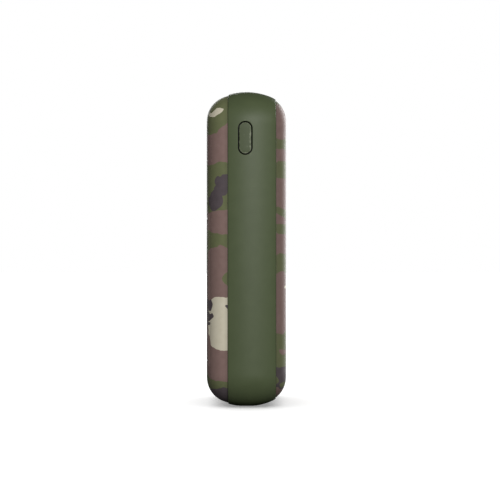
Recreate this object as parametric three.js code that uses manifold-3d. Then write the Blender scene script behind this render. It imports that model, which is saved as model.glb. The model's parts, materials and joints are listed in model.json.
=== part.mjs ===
// A toy walkie talkie: two camouflage covers on an olive centre band, with a talk button in the band's side.
// Millimetres, +Z up. The front (speaker side) faces -Y, and the talk button is on the -X side.
// The origin is on the ground, in the middle of the object.
import * as THREE from 'three';
import { mergeVertices } from 'three/addons/utils/BufferGeometryUtils.js';
import Module from 'manifold-3d';

const wasm = await Module();
wasm.setup();

// ---------- driving dimensions ----------

// Outer form
const height = 120;
const width = 54;
const thickness = 30.3;
const crownRadius = 24.2; // gentle roundness across the rim
const edgeRadius = 9.6; // from the rim into the front and back faces
const outlineRadius = 13; // corners of the outline seen from the front
const bandProud = 0.35; // how far the band stands out of the covers
const wall = 1.8;
const footHalfDepth = 4.5; // half depth of the flat that the object stands on
const frontSeam = -11.2; // Y of the joint between front cover and band
const backSeam = 7.0; // Y of the joint between band and back cover

// Fits
const gap = 0.3; // clearance between neighbouring pieces
const tongueThickness = 1.0;
const tongueDepth = 1.8;

// Talk button, in the -X side of the band
const talkY = 0.4;
const talkFromTop = 18.5;
const talkCapWidth = 4.5;
const talkCapLength = 11.7;
const talkSlit = 0.55; // the dark gap round the cap
const talkTravel = 0.9;
const talkStemLength = 1.4;
const talkStemRadius = 1.8;
const talkPlungerShown = 0.8; // how much of the plunger still shows when the button is pressed

// Power slide, in the +X side of the band
const powerFromTop = 21.5;
const powerTravel = 3;
const powerPadHalfWidth = 3.1;
const powerPadHalfLength = 3.6;
const powerRecessDepth = 1.0;
const powerStemHalfWidth = 1.2;
const powerStemHalfLength = 1.6;
const powerFlangeThickness = 1.7;
const powerGrooveSpacing = 1.8;
const leverInKnob = 0.8;
const leverInSwitch = 1;
const leverShown = 1.3; // between the knob's flange and the switch

// Call button, in the front cover
const callBelowSpeaker = 11.5;
const callRadius = 4.6;
const callTravel = 0.8;

// Loudspeaker
const speakerFromTop = 36;
const speakerRadius = 14;
const fenceThickness = 1.2;
const speakerDepth = 3.65; // rim to basket floor
const magnetRadius = 7.5;
const magnetDepth = 4.1;
const grilleHoleRadius = 0.8;
const grillePitch = 3.6;
const grilleRings = 3;

// Microphone and lamp
const microphoneZ = 26;
const microphoneRadius = 3;
const microphoneDepth = 2.2;
const soundHoleRadius = 0.8;
const lampAboveSpeaker = 4.5;
const lampRadius = 1.5;
const lampLength = 4.4;
const lightPipeRadius = 1.3;

// Circuit board
const boardBackY = -3.4;
const boardThickness = 1.2;
const boardSideMargin = 3.85;
const boardEndMargin = 6.5;
const boardCorner = 8;
const boardScrewMargin = 3.5;
const boardScrewAboveTray = 3.2;
const magnetClearance = 1;
const chipUnderCall = 15;
const crystalUnderChip = 10;
const capacitorAboveTray = 8.2;

// Case screws and their posts
const postFromBoardEdge = 8.5;
const postEndMargin = 11.5;
const postRadius = 3.4;
const screwRadius = 1.1;
const screwHeadRadius = 2.2;
const screwHeadThickness = 1.6;
const screwHeadSeatY = 4;
const caseScrewLength = 15;
const boardScrewLength = 6;

// AAA cells and their bay
const cellRadius = 5.25;
const cellLength = 44.5;
const cellNubRadius = 1.9;
const cellNubLength = 0.8;
const cellSpacing = 0.7;
const cellUnderDoor = 0.95;
const trayWall = 1.2;
const trayBottomZ = 16.6;
const trayRimUnderDoor = 2.35;
const contactThickness = 0.5;
const springLength = 5;
const springWireRadius = 0.35;
const springTurns = 4;

// Battery door
const doorLedge = 1.3;
const doorEarHalfWidth = 4.6;
const doorEarLength = 8;
const doorHookHalfWidth = 3;
const doorHookX = 9;
const doorHookLength = 2;
const doorHookThickness = 1;
const doorScrewLength = 3.6;
const doorScrewHeadThickness = 0.9;

// Antenna coil
const antennaUnderBack = 4.75;
const antennaFromTop = 22.5;
const antennaCoreRadius = 2;
const antennaCoreLength = 27;
const antennaCoilRadius = 3;
const antennaWireRadius = 0.4;
const antennaTurns = 10;
const antennaPitch = 1.7;
const antennaHolderX = 11;
const antennaHolderThickness = 1.6;

// Leads
const leadRadius = 0.55;

// Facets
const roundSides = 16;
const smallSides = 10;
const tinySides = 6;
const wireSides = 6;
const coilStepsPerTurn = 8;
const outlineSteps = 5;
const crownSteps = 5;
const edgeSteps = 4;
const reach = 200; // longer than the object, for cutting boxes

// ---------- derived sizes ----------

const halfThickness = thickness / 2;
const bandCrown = crownRadius + bandProud;
const footRise = bandCrown - Math.sqrt(bandCrown ** 2 - footHalfDepth ** 2);
const coverHalfWidth = width / 2 - bandProud;
const coverHalfHeight = (height + footRise) / 2 - bandProud;
const middleZ = (height - footRise) / 2;
const edgeCentre = halfThickness - edgeRadius;
const edgeAngle = Math.asin(edgeCentre / (crownRadius - edgeRadius));
const edgeDepth = crownRadius - (crownRadius - edgeRadius) * Math.cos(edgeAngle);
const frontInside = -halfThickness + wall;
const backInside = halfThickness - wall;
const sideInside = coverHalfWidth - wall;
const boardFrontY = boardBackY - boardThickness;
const boardHalfWidth = sideInside - boardSideMargin;
const boardBottomZ = boardEndMargin;
const boardTopZ = height - boardEndMargin;
const speakerZ = height - speakerFromTop;
const speakerFence = speakerRadius + gap + fenceThickness;
const lampZ = speakerZ + speakerFence + lampAboveSpeaker;
const callZ = speakerZ - speakerFence - callBelowSpeaker;
const talkZ = height - talkFromTop;
const powerZ = height - powerFromTop;
const boardScrewX = boardHalfWidth - boardScrewMargin;
const postX = boardHalfWidth - postFromBoardEdge;
const frontPostTop = boardFrontY - gap;
const backPostEnd = boardBackY + gap;
const postZs = [postEndMargin, height - postEndMargin];
const cellPitch = 2 * cellRadius + cellSpacing;
const cellY = backInside - cellUnderDoor - cellRadius;
const trayFloorY = cellY - cellRadius - gap - trayWall;
const trayRimY = backInside - trayRimUnderDoor;
const antennaY = backInside - antennaUnderBack;
const antennaZ = height - antennaFromTop;
const trayHalfWidth = cellPitch + cellRadius + 0.5 * gap + gap + trayWall;
const bayLength = cellLength + springLength + 2 * contactThickness + 5 * gap;
const trayTopZ = trayBottomZ + bayLength + 2 * trayWall;
const boardScrewZ = trayTopZ + boardScrewAboveTray;
const doorHalfWidth = trayHalfWidth + gap / 2;
const doorBottomZ = trayBottomZ + 3 * gap;
const doorTopZ = trayTopZ + gap;
const doorScrewZ = doorBottomZ - doorEarLength / 2;
const ledgeTop = backInside - gap;

// ---------- materials ----------

function plain(color, roughness, metalness = 0) {
  return new THREE.MeshStandardMaterial({ color, roughness, metalness });
}

const finishes = {
  camouflage: plain(0x6b6a55, 0.55),
  olive: plain(0x59614a, 0.5),
  oliveDark: plain(0x4d5540, 0.5),
  rubber: plain(0x1c1c1c, 0.9),
  steel: plain(0xb8b8ba, 0.35, 1),
  nickel: plain(0xc8c4b8, 0.3, 1),
  copper: plain(0xb06a3c, 0.35, 1),
  board: plain(0x1f6b3a, 0.5),
  blackPlastic: plain(0x202124, 0.5),
  greyPlastic: plain(0x8b8d8f, 0.5),
  ferrite: plain(0x33302f, 0.8),
  cell: plain(0x9a2d26, 0.35, 0.3),
  paper: plain(0x3a3a3a, 0.95),
  foam: plain(0x2b2b2b, 1),
  clear: plain(0xd8e6e2, 0.15),
  redLamp: plain(0xc03028, 0.2),
  redLead: plain(0xb02a24, 0.5),
  blackLead: plain(0x1b1b1b, 0.5),
};

// ---------- solids ----------

// A closed manifold solid from a three.js geometry.
function solid(geometry) {
  const bare = geometry.clone();
  bare.deleteAttribute('normal');
  bare.deleteAttribute('uv');
  const merged = mergeVertices(bare);
  const corners = merged.index.array;
  const triangles = [];
  for (let i = 0; i < corners.length; i += 3) {
    const [a, b, c] = [corners[i], corners[i + 1], corners[i + 2]];
    if (a !== b && b !== c && c !== a) triangles.push(a, b, c);
  }
  const vertProperties = new Float32Array(merged.attributes.position.array);
  const triVerts = new Uint32Array(triangles);
  return new wasm.Manifold(new wasm.Mesh({ numProp: 3, vertProperties, triVerts }));
}

// The three.js geometry of a manifold solid.
function toGeometry(body) {
  const mesh = body.getMesh();
  const geometry = new THREE.BufferGeometry();
  geometry.setAttribute('position', new THREE.BufferAttribute(new Float32Array(mesh.vertProperties), 3));
  geometry.setIndex(new THREE.BufferAttribute(new Uint32Array(mesh.triVerts), 1));
  return geometry;
}

function box(x0, x1, y0, y1, z0, z1) {
  const geometry = new THREE.BoxGeometry(x1 - x0, y1 - y0, z1 - z0);
  geometry.translate((x0 + x1) / 2, (y0 + y1) / 2, (z0 + z1) / 2);
  return solid(geometry);
}

// A round bar along Y.
function barY(radius, y0, y1, x, z, sides = roundSides) {
  const geometry = new THREE.CylinderGeometry(radius, radius, y1 - y0, sides);
  geometry.translate(x, (y0 + y1) / 2, z);
  return solid(geometry);
}

// A round bar along X.
function barX(radius, x0, x1, y, z, sides = roundSides) {
  const geometry = new THREE.CylinderGeometry(radius, radius, x1 - x0, sides);
  geometry.rotateZ(Math.PI / 2);
  geometry.translate((x0 + x1) / 2, y, z);
  return solid(geometry);
}

// A pipe along Y.
function ringY(outer, inner, y0, y1, x, z) {
  return barY(outer, y0, y1, x, z).subtract(barY(inner, y0 - 1, y1 + 1, x, z));
}

// A bar along X with an oblong section, round at its top and bottom.
function oblongX(wide, long, x0, x1, y, z) {
  const radius = wide / 2;
  const straight = long / 2 - radius;
  const shape = new THREE.Shape();
  shape.moveTo(radius, -straight);
  shape.lineTo(radius, straight);
  shape.absarc(0, straight, radius, 0, Math.PI, false);
  shape.lineTo(-radius, -straight);
  shape.absarc(0, -straight, radius, Math.PI, 2 * Math.PI, false);
  const geometry = new THREE.ExtrudeGeometry(shape, {
    depth: x1 - x0,
    bevelEnabled: false,
    curveSegments: smallSides / 2,
  });
  geometry.rotateX(Math.PI / 2);
  geometry.rotateZ(Math.PI / 2);
  geometry.translate(x0, y, z);
  return solid(geometry);
}

// A solid turned about the Y axis, from [radius, y] points.
function turnedY(points, sides = roundSides) {
  return new THREE.LatheGeometry(
    points.map(([radius, y]) => new THREE.Vector2(radius, y)),
    sides,
  );
}

// A round wire along a list of points.
function wire(points, radius, steps, sides) {
  const section = new THREE.Shape();
  section.absarc(0, 0, radius, 0, 2 * Math.PI, false);
  return new THREE.ExtrudeGeometry(section, {
    extrudePath: new THREE.CatmullRomCurve3(points),
    steps,
    curveSegments: sides / 2,
    bevelEnabled: false,
  });
}

// Points along a coil that rises along Z. radiusAt gives its radius from 0 at the start to 1 at the end.
function helix(turns, pitch, radiusAt) {
  const points = [];
  const count = turns * coilStepsPerTurn;
  for (let i = 0; i <= count; i += 1) {
    const turned = i / coilStepsPerTurn;
    const angle = turned * 2 * Math.PI;
    const radius = radiusAt(i / count);
    points.push(new THREE.Vector3(radius * Math.cos(angle), radius * Math.sin(angle), turned * pitch));
  }
  return points;
}

// ---------- the outer form ----------

// [y, inset] pairs from the front face to the back face. The inset is measured in from the covers'
// outline, and offset moves the whole surface inwards.
function rimProfile(offset) {
  const crown = crownRadius - offset;
  const edge = edgeRadius - offset;
  const half = [];
  for (let i = 0; i < crownSteps; i += 1) {
    const angle = (edgeAngle * i) / crownSteps;
    half.push([crown * Math.sin(angle), crownRadius - crown * Math.cos(angle)]);
  }
  for (let i = 0; i <= edgeSteps; i += 1) {
    const angle = edgeAngle + ((Math.PI / 2 - edgeAngle) * i) / edgeSteps;
    half.push([edgeCentre + edge * Math.sin(angle), edgeDepth - edge * Math.cos(angle)]);
  }
  const front = half.slice(1).reverse().map(([y, inset]) => [-y, inset]);
  return [...front, ...half];
}

// One section of the form: a rounded rectangle in the XZ plane.
function outlineRing(y, inset) {
  const smallestRadius = 0.8;
  const radius = Math.max(outlineRadius - bandProud - inset, smallestRadius);
  const cornerX = coverHalfWidth - inset - radius;
  const cornerZ = coverHalfHeight - inset - radius;
  const ring = [];
  for (let corner = 0; corner < 4; corner += 1) {
    const signX = corner === 0 || corner === 3 ? 1 : -1;
    const signZ = corner < 2 ? 1 : -1;
    for (let i = 0; i <= outlineSteps; i += 1) {
      const angle = ((corner + i / outlineSteps) * Math.PI) / 2;
      ring.push([
        signX * cornerX + radius * Math.cos(angle),
        y,
        middleZ + signZ * cornerZ + radius * Math.sin(angle),
      ]);
    }
  }
  return ring;
}

// How far the form's surface is set in from the covers' outline at a given y.
function insetAt(y, offset) {
  const depth = Math.abs(y);
  const crown = crownRadius - offset;
  if (depth <= crown * Math.sin(edgeAngle)) return crownRadius - Math.sqrt(crown ** 2 - depth ** 2);
  return edgeDepth - Math.sqrt((edgeRadius - offset) ** 2 - (depth - edgeCentre) ** 2);
}

// The whole form, moved inwards by offset (outwards where it is negative).
function form(offset) {
  return loft(rimProfile(offset).map(([y, inset]) => outlineRing(y, inset)));
}

// A closed solid through a list of sections, from front to back.
function loft(rings) {
  const count = rings[0].length;
  const positions = rings.flat(2);
  const index = [];
  for (let j = 0; j + 1 < rings.length; j += 1) {
    for (let i = 0; i < count; i += 1) {
      const a = j * count + i;
      const b = j * count + ((i + 1) % count);
      index.push(a, a + count, b + count, a, b + count, b);
    }
  }
  const frontCentre = positions.length / 3;
  positions.push(0, rings[0][0][1], middleZ);
  positions.push(0, rings.at(-1)[0][1], middleZ);
  const last = (rings.length - 1) * count;
  for (let i = 0; i < count; i += 1) {
    const next = (i + 1) % count;
    index.push(frontCentre, i, next);
    index.push(frontCentre + 1, last + next, last + i);
  }
  const geometry = new THREE.BufferGeometry();
  geometry.setAttribute('position', new THREE.BufferAttribute(new Float32Array(positions), 3));
  geometry.setIndex(index);
  return solid(geometry);
}

// A layer of the form between two offsets and two Y planes.
function layer(outer, inner, y0, y1) {
  const slice = box(-reach, reach, y0, y1, -reach, reach);
  return form(outer).intersect(slice).subtract(form(inner));
}

// A straight prism along Y with the form's outline, set in all round.
function prism(inset, y0, y1) {
  return loft([outlineRing(y0, inset), outlineRing(y1, inset)]);
}

// The tongue that a cover puts inside the band. side is -1 for the front cover and +1 for the back one.
function tongue(seam, side) {
  const rootDepth = 1.6;
  const root = seam + side * (gap / 2 + rootDepth);
  const tip = seam - side * tongueDepth;
  const [y0, y1] = [Math.min(root, tip), Math.max(root, tip)];
  const outer = insetAt(seam - (side * gap) / 2, wall) + gap;
  return prism(outer, y0, y1).subtract(prism(outer + tongueThickness, y0 - 1, y1 + 1));
}

// ---------- case ----------

function frontCover() {
  let cover = layer(0, wall, -halfThickness - 1, frontSeam - gap / 2).add(tongue(frontSeam, -1));
  const plateMiddle = -halfThickness + wall / 2;
  for (const z of postZs) {
    for (const x of [-postX, postX]) {
      cover = cover.add(barY(postRadius, plateMiddle, frontPostTop, x, z));
    }
  }
  const boardPostRadius = 2.6;
  for (const x of [-boardScrewX, boardScrewX]) {
    cover = cover.add(barY(boardPostRadius, plateMiddle, frontPostTop, x, boardScrewZ));
  }
  cover = cover.add(ringY(speakerFence, speakerRadius + gap, plateMiddle, speakerBackY(), 0, speakerZ));
  const bootFence = bootRadius() + gap + fenceThickness;
  const bootFenceTop = frontInside + microphoneDepth;
  cover = cover.add(ringY(bootFence, bootRadius() + gap, plateMiddle, bootFenceTop, 0, microphoneZ));
  cover = cover.intersect(form(0));

  const pilotRadius = screwRadius + gap;
  const pilotEnd = screwHeadSeatY - caseScrewLength - gap;
  for (const z of postZs) {
    for (const x of [-postX, postX]) {
      cover = cover.subtract(barY(pilotRadius, pilotEnd, reach, x, z, smallSides));
    }
  }
  for (const x of [-boardScrewX, boardScrewX]) {
    const end = boardBackY - boardScrewLength;
    cover = cover.subtract(barY(pilotRadius, end, reach, x, boardScrewZ, smallSides));
  }
  for (const [x, z] of grilleHoles()) {
    cover = cover.subtract(barY(grilleHoleRadius, -reach, frontInside + gap, x, z, tinySides));
  }
  cover = cover.subtract(barY(soundHoleRadius, -reach, frontInside + gap, 0, microphoneZ, smallSides));
  cover = cover.subtract(barY(callRadius + gap, -reach, frontInside + gap, 0, callZ));
  cover = cover.subtract(barY(lightPipeRadius + gap, -reach, frontInside + gap, 0, lampZ, smallSides));
  return cover;
}

// Hole centres on hexagonal rings round the loudspeaker's axis.
function grilleHoles() {
  const holes = [[0, speakerZ]];
  for (let ring = 1; ring <= grilleRings; ring += 1) {
    for (let side = 0; side < 6; side += 1) {
      const start = (side * Math.PI) / 3;
      const end = start + Math.PI / 3;
      for (let step = 0; step < ring; step += 1) {
        const share = step / ring;
        const x = Math.cos(start) * (1 - share) + Math.cos(end) * share;
        const z = Math.sin(start) * (1 - share) + Math.sin(end) * share;
        holes.push([x * ring * grillePitch, speakerZ + z * ring * grillePitch]);
      }
    }
  }
  return holes;
}

function centreBand() {
  let band = layer(-bandProud, wall, frontSeam + gap / 2, backSeam - gap / 2);
  band = band.subtract(box(-reach, reach, -reach, reach, -reach, 0));
  const holeWidth = talkCapWidth + 2 * talkSlit;
  const holeLength = talkCapLength + 2 * talkSlit;
  band = band.subtract(oblongX(holeWidth, holeLength, -reach, 0, talkY, talkZ));

  const recessWidth = 2 * (powerPadHalfWidth + gap);
  const recessLength = 2 * (powerPadHalfLength + gap) + powerTravel;
  const recessX = width / 2 - powerRecessDepth;
  const powerMiddleZ = powerZ + powerTravel / 2;
  band = band.subtract(oblongX(recessWidth, recessLength, recessX, reach, 0, powerMiddleZ));
  const slotHalfWidth = powerStemHalfWidth + gap;
  band = band.subtract(
    box(0, reach, -slotHalfWidth, slotHalfWidth,
      powerZ - powerStemHalfLength - gap, powerZ + powerStemHalfLength + gap + powerTravel),
  );
  return band;
}

// The outline of the battery door, grown by extra all round, from y0 outwards.
function doorPrism(extra, y0) {
  const half = doorHalfWidth + extra;
  const main = box(-half, half, y0, reach, doorBottomZ - extra, doorTopZ + extra);
  const earHalf = doorEarHalfWidth + extra;
  const earZ = doorBottomZ - doorEarLength + doorEarHalfWidth;
  const ear = box(-earHalf, earHalf, y0, reach, earZ, doorBottomZ + 1);
  const earEnd = barY(earHalf, y0, reach, 0, earZ);
  return main.add(ear).add(earEnd);
}

function backCover() {
  let cover = layer(0, wall, backSeam + gap / 2, halfThickness + 1).add(tongue(backSeam, 1));
  const plateMiddle = halfThickness - wall / 2;
  for (const z of postZs) {
    for (const x of [-postX, postX]) {
      cover = cover.add(barY(postRadius, backPostEnd, plateMiddle, x, z));
    }
  }
  const ledgeThickness = 0.8;
  const ledgeOuter = 2;
  const ledgeBottom = ledgeTop - ledgeThickness;
  const ledge = box(
    -doorHalfWidth - ledgeOuter, doorHalfWidth + ledgeOuter, ledgeBottom, plateMiddle - gap,
    doorBottomZ - ledgeOuter, doorTopZ + ledgeOuter,
  );
  const bayOpening = box(
    -doorHalfWidth + doorLedge, doorHalfWidth - doorLedge, -reach, reach,
    doorBottomZ + doorLedge, doorTopZ - doorLedge,
  );
  const earFloor = box(
    -doorEarHalfWidth - ledgeOuter, doorEarHalfWidth + ledgeOuter, ledgeBottom, plateMiddle - gap,
    doorBottomZ - doorEarLength - ledgeOuter, doorBottomZ + doorLedge,
  );
  const bossRadius = 2.9;
  const bossEnd = ledgeTop - doorScrewLength;
  cover = cover.add(ledge).subtract(bayOpening).add(earFloor);
  cover = cover.add(barY(bossRadius, bossEnd, ledgeTop, 0, doorScrewZ));

  const holderHalf = antennaHolderThickness / 2;
  const holderRim = 1.7;
  const holderReach = antennaCoreRadius + gap + holderRim;
  for (const x of [-antennaHolderX, antennaHolderX]) {
    const holder = box(
      x - holderHalf, x + holderHalf, antennaY - holderReach, plateMiddle,
      antennaZ - holderReach, antennaZ + holderReach,
    );
    cover = cover.add(holder.subtract(barX(antennaCoreRadius + gap, -reach, reach, antennaY, antennaZ)));
  }

  cover = cover.subtract(doorPrism(gap, ledgeTop));
  for (const x of [-doorHookX, doorHookX]) {
    const half = doorHookHalfWidth + gap;
    const notchTop = doorTopZ + doorHookLength + gap;
    cover = cover.subtract(box(x - half, x + half, 0, backInside, doorTopZ - doorLedge - gap, notchTop));
  }
  const shankRadius = screwRadius + gap;
  const doorScrewPlay = 0.1;
  const doorScrewHole = shankRadius + doorScrewPlay;
  cover = cover.subtract(barY(doorScrewHole, 0, reach, 0, doorScrewZ, smallSides));
  for (const z of postZs) {
    for (const x of [-postX, postX]) {
      cover = cover.subtract(barY(shankRadius, -reach, reach, x, z, smallSides));
      cover = cover.subtract(barY(screwHeadRadius + gap, screwHeadSeatY, reach, x, z));
    }
  }
  return cover;
}

function batteryDoor() {
  let door = form(0).intersect(doorPrism(0, backInside));
  const hookBottom = backInside - gap - doorHookThickness;
  const hookRoot = 2.2;
  for (const x of [-doorHookX, doorHookX]) {
    const x0 = x - doorHookHalfWidth;
    const x1 = x + doorHookHalfWidth;
    const z0 = doorTopZ - hookRoot;
    const hook = box(x0, x1, hookBottom, backInside - gap, z0, doorTopZ + doorHookLength - gap);
    const root = box(x0, x1, hookBottom, backInside + gap, z0, doorTopZ - gap);
    door = door.add(hook).add(root);
  }
  const ribHalf = 0.6;
  const ribEnd = cellY + cellRadius + gap;
  const ribMargin = 3;
  const ribX = doorHalfWidth - ribMargin;
  const ribSpacing = 14;
  const doorMiddleZ = (doorBottomZ + doorTopZ) / 2;
  for (const step of [-1, 0, 1]) {
    const z = doorMiddleZ + step * ribSpacing;
    door = door.add(box(-ribX, ribX, ribEnd, backInside + gap, z - ribHalf, z + ribHalf));
  }
  door = door.subtract(barY(screwRadius + gap, 0, reach, 0, doorScrewZ, smallSides));
  const headSeat = halfThickness - doorScrewHeadThickness - gap;
  return door.subtract(barY(screwHeadRadius + gap, headSeat, reach, 0, doorScrewZ));
}

// A screw with its head's seat at y = 0, pointing to -Y, with a cross in its head.
function screw(length, headThickness) {
  const tip = 0.8;
  const points = [
    [0, -length],
    [screwRadius / 3, -length],
    [screwRadius, -length + tip],
    [screwRadius, 0],
    [screwHeadRadius, 0],
    [screwHeadRadius, headThickness * 0.5],
    [screwHeadRadius * 0.8, headThickness],
    [0, headThickness],
  ];
  const slotHalf = 0.3;
  const slotReach = screwHeadRadius * 0.6;
  const slotFloor = headThickness * 0.5;
  const body = solid(turnedY(points, smallSides));
  const slotAcross = box(-slotReach, slotReach, slotFloor, reach, -slotHalf, slotHalf);
  const slotUp = box(-slotHalf, slotHalf, slotFloor, reach, -slotReach, slotReach);
  return body.subtract(slotAcross.add(slotUp));
}

// ---------- talk button ----------

const talkFlangeX = -sideInside + 2 * gap;
const talkFlangeThickness = 1;
const talkStemEnd = talkFlangeX + talkFlangeThickness + talkStemLength;
const talkSwitchX = talkStemEnd + gap + talkTravel + talkPlungerShown;
const talkPlungerRadius = 1.4;
const talkPlungerRoot = 0.6;
const switchWell = talkTravel + talkPlungerRoot + gap;

function talkButton() {
  const capRound = 0.5;
  const face = -width / 2;
  const cap = oblongX(talkCapWidth, talkCapLength, face + capRound, talkFlangeX + gap, talkY, talkZ);
  const top = oblongX(
    talkCapWidth - 2 * capRound, talkCapLength - 2 * capRound, face, face + capRound + gap, talkY, talkZ,
  );
  const step = 0.3 * capRound;
  const middleStep = oblongX(
    talkCapWidth - 2 * step, talkCapLength - 2 * step, face + step, face + capRound + gap, talkY, talkZ,
  );
  const flangeExtraWidth = 2.6;
  const flangeExtraLength = 1.8;
  const flange = oblongX(
    talkCapWidth + flangeExtraWidth, talkCapLength + flangeExtraLength,
    talkFlangeX, talkFlangeX + talkFlangeThickness, talkY, talkZ,
  ).intersect(form(wall + gap));
  const stem = barX(talkStemRadius, talkFlangeX + gap, talkStemEnd, talkY, talkZ);
  return cap.add(middleStep).add(top).add(flange).add(stem);
}

function talkSwitchBody() {
  const half = 3.5;
  const depth = 3.4;
  const near = boardBackY + gap;
  const body = box(talkSwitchX, talkSwitchX + depth, near, 2 * talkY - near, talkZ - half, talkZ + half);
  const well = barX(talkPlungerRadius + gap, talkSwitchX - 1, talkSwitchX + switchWell, talkY, talkZ);
  return body.subtract(well);
}

function talkPlunger() {
  return barX(talkPlungerRadius, talkStemEnd + gap, talkSwitchX + talkPlungerRoot, talkY, talkZ);
}

// ---------- power slide ----------

const powerFlangeOuter = sideInside - 2 * gap;
const powerFlangeInner = powerFlangeOuter - powerFlangeThickness;
const leverHalf = 0.8;
const leverEnd = powerFlangeInner + leverInKnob;
const powerSwitchFace = powerFlangeInner - leverShown;
const leverRoot = powerSwitchFace - leverInSwitch;

function powerKnob() {
  const recessX = width / 2 - powerRecessDepth;
  const pad = oblongX(
    2 * powerPadHalfWidth, 2 * powerPadHalfLength, recessX + gap, width / 2, 0, powerZ,
  );
  const stem = box(
    powerFlangeOuter - gap, recessX + 2 * gap, -powerStemHalfWidth, powerStemHalfWidth,
    powerZ - powerStemHalfLength, powerZ + powerStemHalfLength,
  );
  const flangeHalfWidth = 2.5;
  const flangeHalfLength = 3;
  const flange = box(
    powerFlangeInner, powerFlangeOuter, -flangeHalfWidth, flangeHalfWidth,
    powerZ - flangeHalfLength, powerZ + flangeHalfLength,
  );
  const socket = leverHalf + gap;
  let knob = pad.add(stem).add(flange);
  knob = knob.subtract(box(0, leverEnd + gap, -socket, socket, powerZ - socket, powerZ + socket));
  const grooveHalf = 0.3;
  const grooveDepth = 0.35;
  for (const step of [-1, 0, 1]) {
    const z = powerZ + step * powerGrooveSpacing;
    knob = knob.subtract(box(width / 2 - grooveDepth, reach, -reach, reach, z - grooveHalf, z + grooveHalf));
  }
  return knob;
}

function powerSwitchBody() {
  const depth = 4;
  const half = 5;
  const switchZ = powerZ + powerTravel / 2;
  const near = boardBackY + gap;
  const body = box(powerSwitchFace - depth, powerSwitchFace, near, -near, switchZ - half, switchZ + half);
  const slot = leverHalf + gap;
  return body.subtract(
    box(leverRoot - gap, reach, -slot, slot, powerZ - slot, powerZ + slot + powerTravel),
  );
}

function powerLever() {
  return box(leverRoot, leverEnd, -leverHalf, leverHalf, powerZ - leverHalf, powerZ + leverHalf);
}

// ---------- call button ----------

const callFlangeY = frontInside + gap;
const callFlangeThickness = 1;
const callSwitchHeight = 3.5;
const callSwitchFace = boardFrontY - gap - callSwitchHeight;
const callPlungerRadius = 1.5;
const callPlungerRoot = 0.5;
const callStemEnd = callSwitchFace - callTravel - 2 * gap;

function callButton() {
  const dish = 0.3;
  const face = -halfThickness + 0.1;
  const flangeRim = 1.2;
  const flangeRadius = callRadius + gap + flangeRim;
  const stemRadius = 2;
  return turnedY([
    [0, face + dish],
    [callRadius * 0.5, face + dish * 0.7],
    [callRadius - 0.9, face],
    [callRadius - 0.3, face + 0.1],
    [callRadius, face + 0.45],
    [callRadius, callFlangeY],
    [flangeRadius, callFlangeY],
    [flangeRadius, callFlangeY + callFlangeThickness],
    [stemRadius, callFlangeY + callFlangeThickness],
    [stemRadius, callStemEnd],
    [0, callStemEnd],
  ]);
}

function callSwitchBody() {
  const half = 3;
  const body = box(-half, half, callSwitchFace, boardFrontY - gap, callZ - half, callZ + half);
  const well = callSwitchFace + callTravel + callPlungerRoot + gap;
  return body.subtract(barY(callPlungerRadius + gap, -reach, well, 0, callZ));
}

function callPlunger() {
  return barY(callPlungerRadius, callStemEnd + gap, callSwitchFace + callPlungerRoot, 0, callZ);
}

// ---------- loudspeaker ----------

const clothThickness = 0.5;
const gasketThickness = 0.8;
const clothY = frontInside + gap;
const gasketY = clothY + clothThickness + gap;
const speakerFrontY = gasketY + gasketThickness + gap;
const speakerRim = 2.4;

function speakerBackY() {
  return speakerFrontY + speakerDepth;
}

function speakerBasket() {
  const sheet = 0.6;
  const rimInner = speakerRadius - speakerRim;
  const back = speakerBackY();
  const floorMargin = 0.6;
  const floorRadius = magnetRadius + floorMargin;
  const slant = 0.4;
  const neck = 3;
  const lip = 1.3;
  return turnedY([
    [neck, back - sheet],
    [floorRadius - slant, back - sheet],
    [rimInner, speakerFrontY + lip],
    [rimInner, speakerFrontY],
    [speakerRadius, speakerFrontY],
    [speakerRadius, speakerFrontY + sheet],
    [rimInner + sheet, speakerFrontY + sheet],
    [rimInner + sheet, speakerFrontY + lip],
    [floorRadius, back],
    [neck, back],
    [neck, back - sheet],
  ]);
}

function speakerCone() {
  const skin = 0.35;
  const outer = speakerRadius - speakerRim - gap;
  const front = speakerFrontY + gap;
  const line = [
    [0, 0.2],
    [2.2, 0.5],
    [3.4, 1.3],
    [5.5, 1.1],
    [8.2, 0.5],
    [9.2, 0.1],
    [outer, 0.1],
  ];
  const seen = line.map(([radius, depth]) => [radius, front + depth]);
  const hidden = line.map(([radius, depth]) => [radius, front + depth + skin]).reverse();
  return turnedY([...seen, ...hidden]);
}

function speakerMagnet() {
  const front = speakerBackY() + gap;
  const round = 0.5;
  return turnedY([
    [0, front],
    [magnetRadius, front],
    [magnetRadius, front + magnetDepth - round],
    [magnetRadius - round, front + magnetDepth],
    [0, front + magnetDepth],
  ]);
}

// ---------- microphone and lamp ----------

const bootSkin = 0.7;
const bootWall = 0.9;

function bootRadius() {
  return microphoneRadius + gap + bootWall;
}

function microphoneBoot() {
  const front = frontInside + gap;
  const inner = microphoneRadius + gap;
  const back = front + bootSkin + gap + microphoneDepth;
  return turnedY([
    [soundHoleRadius, front],
    [bootRadius(), front],
    [bootRadius(), back],
    [inner, back],
    [inner, front + bootSkin],
    [soundHoleRadius, front + bootSkin],
    [soundHoleRadius, front],
  ]);
}

function microphone() {
  const front = frontInside + 2 * gap + bootSkin;
  const back = front + microphoneDepth;
  const pinRadius = 0.35;
  const pinX = 1.3;
  const can = barY(microphoneRadius, front, back, 0, microphoneZ);
  const pin = (x) => barY(pinRadius, back - gap, boardFrontY - gap, x, microphoneZ, tinySides);
  return can.add(pin(-pinX)).add(pin(pinX));
}

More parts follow.
